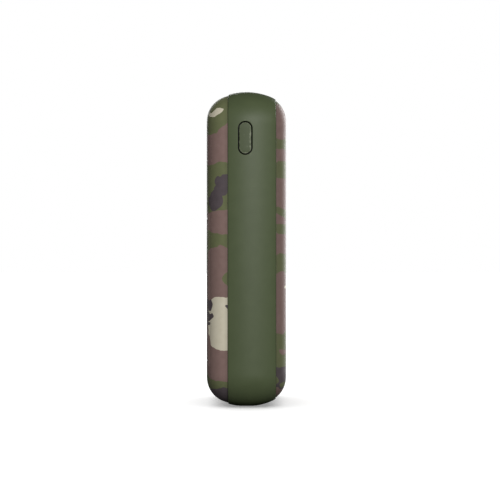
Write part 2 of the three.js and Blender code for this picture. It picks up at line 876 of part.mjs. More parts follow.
function lamp() {
  const foot = boardFrontY - gap;
  const tip = foot - lampLength;
  const footRim = 0.3;
  const footThickness = 1;
  return turnedY([
    [0, tip],
    [lampRadius * 0.5, tip + 0.2],
    [lampRadius * 0.87, tip + 0.75],
    [lampRadius, tip + lampRadius],
    [lampRadius, foot - footThickness],
    [lampRadius + footRim, foot - footThickness],
    [lampRadius + footRim, foot],
    [0, foot],
  ], smallSides);
}

function lightPipe() {
  const face = -halfThickness;
  const flangeY = frontInside + gap;
  const inner = boardFrontY - 2 * gap - lampLength;
  const round = 0.3;
  const flangeRim = 1;
  const flangeThickness = 0.8;
  return turnedY([
    [0, face],
    [lightPipeRadius - round, face],
    [lightPipeRadius, face + round],
    [lightPipeRadius, flangeY],
    [lightPipeRadius + flangeRim, flangeY],
    [lightPipeRadius + flangeRim, flangeY + flangeThickness],
    [lightPipeRadius, flangeY + flangeThickness],
    [lightPipeRadius, inner],
    [0, inner],
  ], smallSides);
}

// ---------- circuit board ----------

const crystalRadius = 1.7;

function circuitBoard() {
  const shape = new THREE.Shape();
  const [x, c] = [boardHalfWidth, boardCorner];
  shape.moveTo(-x + c, boardBottomZ);
  shape.lineTo(x - c, boardBottomZ);
  shape.absarc(x - c, boardBottomZ + c, c, -Math.PI / 2, 0, false);
  shape.lineTo(x, boardTopZ - c);
  shape.absarc(x - c, boardTopZ - c, c, 0, Math.PI / 2, false);
  shape.lineTo(-x + c, boardTopZ);
  shape.absarc(-x + c, boardTopZ - c, c, Math.PI / 2, Math.PI, false);
  shape.lineTo(-x, boardBottomZ + c);
  shape.absarc(-x + c, boardBottomZ + c, c, Math.PI, 1.5 * Math.PI, false);
  const geometry = new THREE.ExtrudeGeometry(shape, {
    depth: boardThickness,
    bevelEnabled: false,
    curveSegments: 6,
  });
  geometry.rotateX(Math.PI / 2);
  geometry.translate(0, boardBackY, 0);
  let board = solid(geometry);
  board = board.subtract(barY(magnetRadius + magnetClearance, -reach, reach, 0, speakerZ));
  const hole = screwRadius + gap;
  for (const z of postZs) {
    for (const side of [-1, 1]) {
      board = board.subtract(barY(hole, -reach, reach, side * postX, z, smallSides));
    }
  }
  for (const side of [-1, 1]) {
    board = board.subtract(barY(hole, -reach, reach, side * boardScrewX, boardScrewZ, smallSides));
  }
  return board;
}

const radioChip = { wide: 7.4, long: 10.2, tall: 2.3, legs: 8 };
const soundChip = { wide: 4, long: 5, tall: 1.6, legs: 4 };

// A chip with its rows of legs on the front of the board.
function chip({ wide, long, tall, legs }, x, z) {
  const foot = boardFrontY - gap;
  let body = box(x - wide / 2, x + wide / 2, foot - tall, foot, z - long / 2, z + long / 2);
  const legHalf = 0.25;
  const legHeight = 0.9;
  const legReach = 1.1;
  const legX = wide / 2 + legReach;
  const pitch = long / legs;
  for (let i = 0; i < legs; i += 1) {
    const legZ = z - long / 2 + pitch * (i + 0.5);
    body = body.add(box(x - legX, x + legX, foot - legHeight, foot, legZ - legHalf, legZ + legHalf));
  }
  return body;
}

// A crystal's can, lying along X with round ends.
function crystalCan() {
  const straight = 6.8;
  const geometry = new THREE.CapsuleGeometry(crystalRadius, straight, 3, smallSides);
  geometry.rotateZ(Math.PI / 2);
  return geometry;
}

const largeCapacitor = { radius: 3.1, tall: 7 };
const smallCapacitor = { radius: 2.5, tall: 6 };

// A round can with a groove rolled in near its foot.
function capacitor({ radius, tall }) {
  const groove = 0.35;
  const grooveZ = 1.3;
  const grooveHalf = 0.4;
  const round = 0.3;
  return turnedY([
    [0, 0],
    [radius, 0],
    [radius, grooveZ - grooveHalf],
    [radius - groove, grooveZ],
    [radius, grooveZ + grooveHalf],
    [radius, tall - round],
    [radius - round, tall],
    [0, tall],
  ], smallSides + 4);
}

function tuningCan() {
  const half = 3.5;
  const tall = 7.6;
  const aboveTray = 15.5;
  const tunerRadius = 1.9;
  const tunerDepth = 1;
  const x = -(magnetRadius + magnetClearance + gap + half);
  const z = trayTopZ + aboveTray;
  const near = boardBackY + gap;
  const can = box(x - half, x + half, near, near + tall, z - half, z + half);
  return can.subtract(barY(tunerRadius, near + tall - tunerDepth, reach, x, z, smallSides));
}

// ---------- battery bay ----------

const bayBottom = trayBottomZ + trayWall;
const bayTop = bayBottom + bayLength;
const contactFar = gap + contactThickness + gap;

function batteryTray() {
  let tray = box(-trayHalfWidth, trayHalfWidth, trayFloorY, trayRimY, trayBottomZ, trayTopZ);
  const innerHalf = trayHalfWidth - trayWall;
  tray = tray.subtract(box(-innerHalf, innerHalf, trayFloorY + trayWall, reach, bayBottom, bayTop));
  const ribHalf = 0.6;
  const ribHeight = 2.4;
  const ribTop = trayFloorY + trayWall + ribHeight;
  for (const side of [-0.5, 0.5]) {
    const x = side * cellPitch;
    const ribStart = bayBottom + contactFar + springLength;
    const ribEnd = bayTop - contactFar - springLength;
    tray = tray.add(box(x - ribHalf, x + ribHalf, trayFloorY + gap, ribTop, ribStart, ribEnd));
  }
  return tray;
}

function cell() {
  const can = cellLength - cellNubLength;
  const round = 0.5;
  return turnedY([
    [0, 0],
    [cellRadius - round, 0],
    [cellRadius, round],
    [cellRadius, can - round],
    [cellRadius - round, can],
    [cellNubRadius, can],
    [cellNubRadius, cellLength],
    [0, cellLength],
  ]);
}

function contactPlate(x0, x1, z0) {
  const margin = 0.7;
  const y0 = cellY - cellRadius + margin;
  const y1 = trayRimY - margin;
  return box(x0, x1, y0, y1, z0, z0 + contactThickness);
}

function batterySpring() {
  const wide = 3.6;
  const narrow = 2.3;
  const rise = springLength - 2 * springWireRadius;
  const points = helix(springTurns, rise / springTurns, (share) => wide + (narrow - wide) * share);
  return wire(points, springWireRadius, springTurns * coilStepsPerTurn, wireSides);
}

// ---------- assembly ----------

const walkieTalkie = new THREE.Group();

function place(parent, name, shape, material, position = [0, 0, 0], rotation = [0, 0, 0]) {
  const geometry = shape.isBufferGeometry ? toGeometry(solid(shape)) : toGeometry(shape);
  const mesh = new THREE.Mesh(geometry, material);
  mesh.name = name;
  mesh.position.set(...position);
  mesh.rotation.set(...rotation);
  parent.add(mesh);
  return mesh;
}

function group() {
  const child = new THREE.Group();
  walkieTalkie.add(child);
  return child;
}

function addCase() {
  const parts = group();
  place(parts, 'front_cover', frontCover(), finishes.camouflage);
  place(parts, 'centre_band', centreBand(), finishes.olive);
  place(parts, 'back_cover', backCover(), finishes.camouflage);
  place(parts, 'battery_door', batteryDoor(), finishes.camouflage);
  const headSeat = halfThickness - doorScrewHeadThickness - gap / 2;
  const doorScrew = screw(doorScrewLength, doorScrewHeadThickness);
  place(parts, 'door_screw', doorScrew, finishes.steel, [0, headSeat, doorScrewZ]);
  let number = 1;
  for (const z of postZs) {
    for (const x of [-postX, postX]) {
      const y = screwHeadSeatY + gap;
      const caseScrew = screw(caseScrewLength, screwHeadThickness);
      place(parts, `case_screw_${number}`, caseScrew, finishes.steel, [x, y, z]);
      number += 1;
    }
  }
}

function addControls() {
  const parts = group();
  place(parts, 'talk_button', talkButton(), finishes.oliveDark);
  place(parts, 'talk_switch', talkSwitchBody(), finishes.blackPlastic);
  place(parts, 'talk_plunger', talkPlunger(), finishes.greyPlastic);
  place(parts, 'power_knob', powerKnob(), finishes.blackPlastic);
  place(parts, 'power_switch', powerSwitchBody(), finishes.nickel);
  place(parts, 'power_lever', powerLever(), finishes.blackPlastic);
  place(parts, 'call_button', callButton(), finishes.oliveDark, [0, 0, callZ]);
  place(parts, 'call_switch', callSwitchBody(), finishes.blackPlastic);
  place(parts, 'call_plunger', callPlunger(), finishes.greyPlastic);
}

function addSound() {
  const parts = group();
  parts.position.z = speakerZ;
  const cloth = barY(speakerRadius, clothY, clothY + clothThickness, 0, 0);
  const gasketMargin = 0.2;
  const gasketInner = speakerRadius - speakerRim + gasketMargin;
  const gasket = ringY(speakerRadius, gasketInner, gasketY, gasketY + gasketThickness, 0, 0);
  place(parts, 'grille_cloth', cloth, finishes.paper);
  place(parts, 'speaker_gasket', gasket, finishes.foam);
  place(parts, 'speaker_basket', speakerBasket(), finishes.steel);
  place(parts, 'speaker_cone', speakerCone(), finishes.paper);
  place(parts, 'speaker_magnet', speakerMagnet(), finishes.nickel);
  const low = group();
  place(low, 'microphone', microphone(), finishes.nickel);
  place(low, 'microphone_boot', microphoneBoot(), finishes.rubber, [0, 0, microphoneZ]);
}

function addElectronics() {
  const parts = group();
  place(parts, 'circuit_board', circuitBoard(), finishes.board);
  const screwY = boardBackY + gap;
  let number = 1;
  for (const x of [-boardScrewX, boardScrewX]) {
    const boardScrew = screw(boardScrewLength, screwHeadThickness);
    place(parts, `board_screw_${number}`, boardScrew, finishes.steel, [x, screwY, boardScrewZ]);
    number += 1;
  }
  const chipX = 11;
  const chipZ = callZ - chipUnderCall;
  place(parts, 'radio_chip', chip(radioChip, chipX, chipZ), finishes.blackPlastic);
  place(parts, 'sound_chip', chip(soundChip, -chipX, chipZ), finishes.blackPlastic);
  const crystalPlace = [chipX, boardFrontY - gap - crystalRadius, chipZ - crystalUnderChip];
  place(parts, 'crystal', crystalCan(), finishes.nickel, crystalPlace);
  const capacitorX = 13.5;
  const capacitorZ = trayTopZ + capacitorAboveTray;
  const capacitorY = boardBackY + gap;
  const large = capacitor(largeCapacitor);
  const small = capacitor(smallCapacitor);
  place(parts, 'capacitor_1', large, finishes.blackPlastic, [-capacitorX, capacitorY, capacitorZ]);
  place(parts, 'capacitor_2', small, finishes.blackPlastic, [capacitorX, capacitorY, capacitorZ]);
  place(parts, 'tuning_can', tuningCan(), finishes.nickel);
  place(parts, 'status_lamp', lamp(), finishes.redLamp, [0, 0, lampZ]);
  place(parts, 'light_pipe', lightPipe(), finishes.clear, [0, 0, lampZ]);
  const core = barX(antennaCoreRadius, -antennaCoreLength / 2, antennaCoreLength / 2, antennaY, antennaZ);
  place(parts, 'antenna_core', core, finishes.ferrite);
  const turns = helix(antennaTurns, antennaPitch, () => antennaCoilRadius);
  const coil = wire(turns, antennaWireRadius, antennaTurns * coilStepsPerTurn, wireSides);
  const coilStart = (-antennaTurns * antennaPitch) / 2;
  place(parts, 'antenna_coil', coil, finishes.copper, [coilStart, antennaY, antennaZ], [0, Math.PI / 2, 0]);
}

// The cells lie side by side, in series, so the middle one is the other way up.
function addBatteries() {
  const parts = group();
  place(parts, 'battery_tray', batteryTray(), finishes.blackPlastic);
  const near = bayBottom + contactFar;
  const far = bayTop - contactFar;
  const layout = [
    { x: -cellPitch, springBelow: true },
    { x: 0, springBelow: false },
    { x: cellPitch, springBelow: true },
  ];
  layout.forEach(({ x, springBelow }, i) => {
    const turn = springBelow ? Math.PI / 2 : -Math.PI / 2;
    const z = springBelow ? far - cellLength : near + cellLength;
    place(parts, `battery_${i + 1}`, cell(), finishes.cell, [x, cellY, z], [turn, 0, 0]);
    const springZ = springBelow ? near + springWireRadius : far - springWireRadius;
    const springTurn = [springBelow ? 0 : Math.PI, 0, 0];
    const spring = batterySpring();
    place(parts, `battery_spring_${i + 1}`, spring, finishes.nickel, [x, cellY, springZ], springTurn);
  });
  const half = 4.6; // half width of the contact over one cell
  const outer = cellPitch + half;
  const inner = cellPitch - half;
  const lowZ = bayBottom + gap;
  const highZ = bayTop - gap - contactThickness;
  place(parts, 'contact_minus', contactPlate(-outer, -inner, lowZ), finishes.nickel);
  place(parts, 'contact_bridge_1', contactPlate(-outer, half, highZ), finishes.nickel);
  place(parts, 'contact_bridge_2', contactPlate(-half, outer, lowZ), finishes.nickel);
  place(parts, 'contact_plus', contactPlate(inner, outer, highZ), finishes.nickel);
}

function lead(parts, name, material, points) {
  const route = points.map((point) => new THREE.Vector3(...point));
  const steps = 12;
  const sides = 8;
  place(parts, name, wire(route, leadRadius, steps, sides), material);
}

function addLeads() {
  const parts = group();
  const solderFront = boardFrontY - gap - leadRadius;
  const speakerLeadY = speakerBackY() + gap + leadRadius;
  const clear = speakerZ - speakerRadius + 3;
  for (const [name, material, x] of [
    ['speaker_lead_1', finishes.redLead, -3],
    ['speaker_lead_2', finishes.blackLead, 3],
  ]) {
    lead(parts, name, material, [
      [x, speakerLeadY, clear + 1],
      [x, speakerLeadY, clear - 1],
      [x * 1.2, (speakerLeadY + solderFront) / 2, clear - 4],
      [x * 1.5, solderFront, clear - 7],
    ]);
  }
  const solderBack = boardBackY + gap + leadRadius;
  const overTray = trayTopZ + gap + leadRadius;
  const padX = magnetRadius + magnetClearance + 1.5;
  for (const [name, material, side] of [
    ['battery_lead_1', finishes.redLead, 1],
    ['battery_lead_2', finishes.blackLead, -1],
  ]) {
    lead(parts, name, material, [
      [side * cellPitch, trayRimY - 1.5, overTray],
      [side * cellPitch, trayRimY - 4, overTray],
      [side * (padX + 0.6), trayFloorY + 2, overTray],
      [side * padX, solderBack + 0.6, overTray + 0.4],
      [side * padX, solderBack, overTray + 2.5],
    ]);
  }
}

addCase();
addControls();
addSound();
addElectronics();
addBatteries();
addLeads();

export default walkieTalkie;
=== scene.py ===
import json
from math import acos, asin, copysign, cos, pi, radians, sin, sqrt

import bmesh
import bpy
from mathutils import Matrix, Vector


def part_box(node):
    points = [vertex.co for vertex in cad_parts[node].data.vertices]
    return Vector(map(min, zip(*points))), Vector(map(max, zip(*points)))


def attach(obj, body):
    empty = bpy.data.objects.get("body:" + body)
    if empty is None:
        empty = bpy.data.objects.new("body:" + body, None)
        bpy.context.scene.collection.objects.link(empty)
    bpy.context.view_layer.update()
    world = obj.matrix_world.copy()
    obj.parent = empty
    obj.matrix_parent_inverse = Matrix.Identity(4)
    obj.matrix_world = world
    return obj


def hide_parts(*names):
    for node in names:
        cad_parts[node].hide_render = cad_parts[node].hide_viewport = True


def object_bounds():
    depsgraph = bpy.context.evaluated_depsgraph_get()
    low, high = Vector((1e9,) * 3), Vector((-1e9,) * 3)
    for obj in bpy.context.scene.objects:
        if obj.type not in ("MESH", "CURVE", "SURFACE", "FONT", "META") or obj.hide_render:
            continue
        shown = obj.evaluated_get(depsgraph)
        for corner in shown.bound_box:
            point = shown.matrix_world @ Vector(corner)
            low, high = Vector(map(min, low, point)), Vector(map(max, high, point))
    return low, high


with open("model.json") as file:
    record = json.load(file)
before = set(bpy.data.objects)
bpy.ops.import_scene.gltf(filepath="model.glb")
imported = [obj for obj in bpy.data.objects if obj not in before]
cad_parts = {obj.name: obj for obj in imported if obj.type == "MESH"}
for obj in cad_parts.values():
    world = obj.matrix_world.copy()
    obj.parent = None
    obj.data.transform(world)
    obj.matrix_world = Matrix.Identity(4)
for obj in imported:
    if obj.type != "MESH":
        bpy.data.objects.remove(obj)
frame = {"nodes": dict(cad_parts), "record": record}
cad_low, cad_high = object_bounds()

MM = 0.001

# ---- the form's driving sizes, as in the CAD ----
# The front face is at -FACE_Y and the back face at FACE_Y.

CROWN_RADIUS = 24.2
EDGE_RADIUS = 9.6
OUTLINE_RADIUS = 13
BAND_PROUD = 0.35
WALL = 1.8
GAP = 0.3
FOOT_HALF_DEPTH = 4.5
TONGUE_THICKNESS = 1.0
LEAST_CORNER = 0.8
REACH = 200
SCREW_HOLE = 1.4
POST_RADIUS = 3.4
TALK_HALF_WIDTH = 2.25
TALK_HALF_LENGTH = 5.85
TALK_SLIT = 0.5
POWER_HALF_WIDTH = 3.1
POWER_HALF_LENGTH = 3.6
POWER_RECESS = 1.0
POWER_TRAVEL = 3
STEM_HALF_WIDTH = 1.2
STEM_HALF_LENGTH = 1.6
HOOK_X = 9
HOOK_HALF_WIDTH = 3


def span(node):
    """Lowest and highest corner of a CAD node in millimetres."""
    low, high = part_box(node)
    return low / MM, high / MM


def middle(node):
    low, high = span(node)
    return (low + high) / 2


WIDTH = (cad_high.x - cad_low.x) / MM
HEIGHT = cad_high.z / MM
FACE_Y = (cad_high.y - cad_low.y) / MM / 2
BAND_CROWN = CROWN_RADIUS + BAND_PROUD
FOOT_RISE = BAND_CROWN - sqrt(BAND_CROWN**2 - FOOT_HALF_DEPTH**2)
HALF_WIDTH = WIDTH / 2 - BAND_PROUD
HALF_HEIGHT = (HEIGHT + FOOT_RISE) / 2 - BAND_PROUD
MIDDLE_Z = (HEIGHT - FOOT_RISE) / 2
EDGE_CENTRE = FACE_Y - EDGE_RADIUS
EDGE_ANGLE = asin(EDGE_CENTRE / (CROWN_RADIUS - EDGE_RADIUS))
EDGE_DEPTH = CROWN_RADIUS - (CROWN_RADIUS - EDGE_RADIUS) * cos(EDGE_ANGLE)
BACK_INSIDE = FACE_Y - WALL
FLANGE_Y = WALL + GAP - FACE_Y
FRONT_SEAM = span("centre_band")[0].y - GAP / 2
BACK_SEAM = span("centre_band")[1].y + GAP / 2
HALF_SEAM = 0.04
FRONT_TONGUE_TIP = span("front_cover")[1].y
BACK_TONGUE_TIP = BACK_SEAM - (FRONT_TONGUE_TIP - FRONT_SEAM)

# ---- meshes ----


def place_in_scene(name, data):
    thing = bpy.data.objects.new(name, data)
    bpy.context.scene.collection.objects.link(thing)
    return thing


def piece(name, vertices, faces):
    """A mesh object from millimetre coordinates, with its faces turned outwards."""
    mesh = bpy.data.meshes.new(name)
    mesh.from_pydata([Vector(v) * MM for v in vertices], [], faces)
    work = bmesh.new()
    work.from_mesh(mesh)
    bmesh.ops.recalc_face_normals(work, faces=work.faces)
    work.to_mesh(mesh)
    work.free()
    return place_in_scene(name, mesh)


def loft_parts(rings, loop=False):
    """Vertices and faces through a list of rings. A loop joins the last ring to the first."""
    count = len(rings[0])
    vertices = [point for ring in rings for point in ring]
    faces = []
    for j in range(len(rings) if loop else len(rings) - 1):
        near = j * count
        far = ((j + 1) % len(rings)) * count
        for i in range(count):
            following = (i + 1) % count
            faces.append((near + i, far + i, far + following, near + following))
    if not loop:
        faces.append(tuple(range(count)))
        last = (len(rings) - 1) * count
        faces.append(tuple(last + i for i in reversed(range(count))))
    return vertices, faces


def loft(name, rings, loop=False):
    return piece(name, *loft_parts(rings, loop))


def several(name, parts):
    """One mesh from several separate lists of vertices and faces."""
    vertices = []
    faces = []
    for part_vertices, part_faces in parts:
        start = len(vertices)
        vertices.extend(part_vertices)
        faces.extend(tuple(start + i for i in face) for face in part_faces)
    return piece(name, vertices, faces)


def settle(body):
    """Turns the body's modifiers into its mesh."""
    evaluated = body.evaluated_get(bpy.context.evaluated_depsgraph_get())
    made = bpy.data.meshes.new_from_object(evaluated)
    made.name = body.name
    body.modifiers.clear()
    old = body.data
    body.data = made
    bpy.data.meshes.remove(old)


def carve(body, parts, operation="DIFFERENCE"):
    """Cuts parts, each a pair of vertices and faces, from body, or joins them to it with UNION."""
    tool = several("cutter", parts)
    modifier = body.modifiers.new("shape", "BOOLEAN")
    modifier.operation = operation
    modifier.object = tool
    modifier.solver = "MANIFOLD"
    settle(body)
    spent = tool.data
    bpy.data.objects.remove(tool)
    bpy.data.meshes.remove(spent)


def smooth(thing, degrees=32):
    """Smooth shading, with edges sharper than the angle kept sharp."""
    thing.data.shade_smooth()
    thing.data.set_sharp_from_angle(angle=radians(degrees))
    modifier = thing.modifiers.new("normals", "WEIGHTED_NORMAL")
    modifier.keep_sharp = True
    settle(thing)
    return thing


def block(x0, x1, y0, y1, z0, z1):
    low = [(x0, y0, z0), (x1, y0, z0), (x1, y1, z0), (x0, y1, z0)]
    high = [(x, y, z1) for x, y, z in low]
    return loft_parts([low, high])


def arc(across, along, radius, start, turn, steps):
    """Pairs round a centre. Start and turn are in half turns."""
    angles = [(start + turn * i / steps) * pi for i in range(steps + 1)]
    return [(across + radius * cos(angle), along + radius * sin(angle)) for angle in angles]


def circle(radius, steps):
    return arc(0, 0, radius, 0, 2, steps)[:-1]


def oblong(half_width, half_length):
    """An outline with round ends, as (across, along) pairs."""
    straight = half_length - half_width
    return arc(0, straight, half_width, 0, 1, 24) + arc(0, -straight, half_width, 1, 1, 24)


def chain(links):
    """A closed outline from (points, steps) links. Steps divide the straight way to the next link."""
    outline = []
    for number, (points, steps) in enumerate(links):
        start = points[-1]
        end = links[(number + 1) % len(links)][0][0]
        outline.extend(points)
        for i in range(1, steps):
            share = i / steps
            outline.append((start[0] + (end[0] - start[0]) * share, start[1] + (end[1] - start[1]) * share))
    return outline


def soften(points, radius, steps=5):
    """Rounds the inner corners of a polyline, over less than half of each side."""
    most = 0.45
    result = [points[0]]
    for before, corner, after in zip(points, points[1:], points[2:]):
        a, b, c = Vector(before), Vector(corner), Vector(after)
        reach_in = min(radius, (a - b).length * most)
        reach_out = min(radius, (c - b).length * most)
        start = b + (a - b).normalized() * reach_in
        end = b + (c - b).normalized() * reach_out
        for i in range(steps + 1):
            t = i / steps
            result.append(tuple(start * (1 - t) ** 2 + b * 2 * t * (1 - t) + end * t**2))
    result.append(points[-1])
    return result


def turned_parts(points, place, steps=72):
    """A solid turned about an axis along Y, from (radius, y) pairs that start and end on the axis."""
    x = place.x
    z = place.z
    vertices = [(x, points[0][1], z)]
    for radius, y in points[1:-1]:
        vertices.extend((x + a, y, z + b) for a, b in circle(radius, steps))
    vertices.append((x, points[-1][1], z))
    rows = len(points) - 2
    faces = []
    for i in range(steps):
        following = (i + 1) % steps
        faces.append((0, 1 + i, 1 + following))
        for row in range(rows - 1):
            near = 1 + row * steps
            far = near + steps
            faces.append((near + i, far + i, far + following, near + following))
        last = 1 + (rows - 1) * steps
        faces.append((len(vertices) - 1, last + following, last + i))
    return vertices, faces


def turned(name, points, place, steps=72):
    return piece(name, *turned_parts(points, place, steps))


def pipe_parts(path, radius, steps):
    """A round wire along a list of points."""
    rings = []
    side = None
    for i, point in enumerate(path):
        here = Vector(point)
        along = (Vector(path[min(i + 1, len(path) - 1)]) - Vector(path[max(i - 1, 0)])).normalized()
        if side is None:
            side = along.orthogonal().normalized()
        side = (side - along * side.dot(along)).normalized()
        across = along.cross(side)
        rings.append([tuple(here + side * a + across * b) for a, b in circle(radius, steps)])
    return loft_parts(rings)


# ---- the form ----


def inset_at(y, offset):
    """How far the surface is set in from the covers' outline at y, moved inwards by offset."""
    depth = abs(y)
    crown = CROWN_RADIUS - offset
    if depth <= crown * sin(EDGE_ANGLE):
        return CROWN_RADIUS - sqrt(crown**2 - depth**2)
    return EDGE_DEPTH - sqrt((EDGE_RADIUS - offset) ** 2 - (depth - EDGE_CENTRE) ** 2)


def slope_at(y, offset):
    """The angle that the surface has turned through at y, from facing outwards to facing along Y."""
    depth = abs(y)
    crown = CROWN_RADIUS - offset
    if depth <= crown * sin(EDGE_ANGLE):
        return copysign(asin(depth / crown), y)
    return copysign(asin((depth - EDGE_CENTRE) / (EDGE_RADIUS - offset)), y)


def rim_point(angle, offset):
    """The (y, inset) pair where the surface has turned through angle."""
    if abs(angle) <= EDGE_ANGLE:
        radius = CROWN_RADIUS - offset
        return radius * sin(angle), CROWN_RADIUS - radius * cos(angle)
    radius = EDGE_RADIUS - offset
    y = copysign(EDGE_CENTRE, angle) + radius * sin(angle)
    return y, EDGE_DEPTH - radius * cos(angle)


def rim_run(start, end, offset, steps):
    return [rim_point(start + (end - start) * i / steps, offset) for i in range(steps + 1)]


def lip(y, facing, offset, radius):
    """The round edge where the surface meets a seam at y, and the angle that it starts at.

    Facing is the way the seam's plane looks along Y.
    """
    centre = y - facing * radius
    inset = inset_at(centre, offset + radius)
    start = slope_at(centre, offset + radius)
    turn = facing * pi / 2 - start
    return arc(centre, inset, radius, start / pi - 0.5, turn / pi, 6), start


CORNER_STEPS = 22
LONG_STEPS = 90
SHORT_STEPS = 30


def outline(inset):
    """(x, z) pairs round the form, set in from the covers' outline."""
    radius = max(OUTLINE_RADIUS - BAND_PROUD - inset, LEAST_CORNER)
    x = HALF_WIDTH - inset - radius
    high_z = MIDDLE_Z + HALF_HEIGHT - inset - radius
    low_z = MIDDLE_Z - HALF_HEIGHT + inset + radius
    centres = [(x, high_z), (-x, high_z), (-x, low_z), (x, low_z)]
    links = []
    for number, centre in enumerate(centres):
        steps = SHORT_STEPS if number % 2 == 0 else LONG_STEPS
        links.append((arc(*centre, radius, number / 2, 0.5, CORNER_STEPS), steps))
    return chain(links)


def ring(y, inset):
    return [(x, y, z) for x, z in outline(inset)]


def whole_form():
    """Vertices and faces of the covers' full outer form as one solid."""
    return loft_parts([ring(y, inset) for y, inset in rim_run(-pi / 2, pi / 2, 0, 60)])


def side_x(y, z, offset):
    """Distance of the surface from the middle at a place on the form's narrow side."""
    inset = inset_at(y, offset)
    radius = OUTLINE_RADIUS - BAND_PROUD - inset
    beyond = abs(z - MIDDLE_Z) - (HALF_HEIGHT - inset - radius)
    x = HALF_WIDTH - inset
    if beyond > 0:
        x -= radius - sqrt(radius**2 - beyond**2)
    return x


def back_y(x, z):
    """Y of the back cover's surface over a place on its face."""
    inset = min(HALF_WIDTH - abs(x), HALF_HEIGHT - abs(z - MIDDLE_Z))
    if inset >= EDGE_DEPTH:
        return FACE_Y
    return EDGE_CENTRE + sqrt(EDGE_RADIUS**2 - (EDGE_DEPTH - inset) ** 2)


def rounding(radius):
    """(growth, depth) pairs of a rounded rim, from inside a hole up to the surface, over 80 degrees."""
    return arc(radius, radius, -radius, 0, 80 / 180, 5)


def side_hole(place, half_width, half_length, side, floor_x, radius):
    """A cutter for an oblong hole with a rounded rim in the band's side. Side is -1 or +1."""
    y = place.y
    z = place.z
    rings = [[(side * floor_x, y + a, z + b) for a, b in oblong(half_width, half_length)]]
    for growth, depth in rounding(radius):
        rings.append([
            (side * (side_x(y + a, z + b, -BAND_PROUD) - depth), y + a, z + b)
            for a, b in oblong(half_width + growth, half_length + growth)
        ])
    far = [(side * REACH, y + a, z + b) for a, b in oblong(half_width + radius, half_length + radius)]
    return loft_parts(rings + [far])


def face_hole(place, radius, rim, steps):
    """A cutter for a round hole with a rounded rim in the flat front face."""
    face = -FACE_Y
    points = [(0, FLANGE_Y), (radius, FLANGE_Y)]
    points.extend((radius + growth, face + depth) for growth, depth in rounding(rim))
    points.extend([(radius + rim, face - 1), (0, face - 1)])
    return turned_parts(points, place, steps)


# ---- case ----

LIP_RADIUS = 0.12
BAND_LIP_RADIUS = 0.4


def cover_rings(side, lip_y, tip):
    """Rings of a cover, from its outer face round its lip and tongue to its inner face."""
    edge, start = lip(lip_y, -side, 0, LIP_RADIUS)
    outer = rim_run(side * pi / 2, start, 0, 34)
    tongue_out = inset_at(lip_y, WALL) + GAP
    tongue_in = tongue_out + TONGUE_THICKNESS
    root = acos((EDGE_DEPTH - tongue_in) / (EDGE_RADIUS - WALL))
    inside = rim_run(side * root, side * pi / 2, WALL, 16)
    tongue = soften([(lip_y, tongue_out), (tip, tongue_out), (tip, tongue_in), inside[0]], 0.2, 3)
    profile = outer + edge[1:] + tongue + inside[1:]
    return [ring(y, inset) for y, inset in profile]


GRILLE_HOLE = 0.8
GRILLE_PITCH = 3.6
GRILLE_RINGS = 3
GROOVE_INSIDE = 15.0
GROOVE_OUTSIDE = 15.7
GROOVE_BEVEL = 0.2
SMALL_RIM = 0.22


def grille_holes():
    """Hole centres on hexagonal rings round the middle of the loudspeaker."""
    centre = middle("speaker_cone")
    holes = [centre]
    for number in range(1, GRILLE_RINGS + 1):
        corners = circle(number * GRILLE_PITCH, 6)
        ring_places = chain([([corner], number) for corner in corners])
        holes.extend(centre + Vector((a, 0, b)) for a, b in ring_places)
    return holes


def case_screws():
    return [middle(f"case_screw_{number}") for number in range(1, 5)]


def make_front_cover():
    cover = loft("front_shell", cover_rings(-1, FRONT_SEAM - HALF_SEAM, FRONT_TONGUE_TIP))
    carve(cover, [face_hole(place, GRILLE_HOLE, SMALL_RIM, 28) for place in grille_holes()])
    round_holes = [
        face_hole(middle("call_button"), 4.9, 0.3, 96),
        face_hole(middle("light_pipe"), 1.6, 0.2, 48),
        face_hole(middle("microphone"), 0.8, SMALL_RIM, 32),
    ]
    carve(cover, round_holes)
    speaker = middle("speaker_cone")
    face = -FACE_Y
    shoulder = face + 0.1
    floor = face + 0.28
    groove = [
        (GROOVE_INSIDE, face - 1),
        (GROOVE_INSIDE, shoulder),
        (GROOVE_INSIDE + GROOVE_BEVEL, floor),
        (GROOVE_OUTSIDE - GROOVE_BEVEL, floor),
        (GROOVE_OUTSIDE, shoulder),
        (GROOVE_OUTSIDE, face - 1),
    ]
    rings = [[(speaker.x + a, y, speaker.z + b) for a, b in circle(radius, 128)] for radius, y in groove]
    carve(cover, [loft_parts(rings, loop=True)])
    root = face + WALL / 2
    end = span("circuit_board")[0].y - GAP
    bore_end = end - 5
    post = [(0, root), (POST_RADIUS, root), (POST_RADIUS, end)]
    post.extend([(SCREW_HOLE, end), (SCREW_HOLE, bore_end), (0, bore_end)])
    post = soften(post, 0.15, 2)
    carve(cover, [turned_parts(post, screw, 40) for screw in case_screws()], "UNION")
    return smooth(cover)


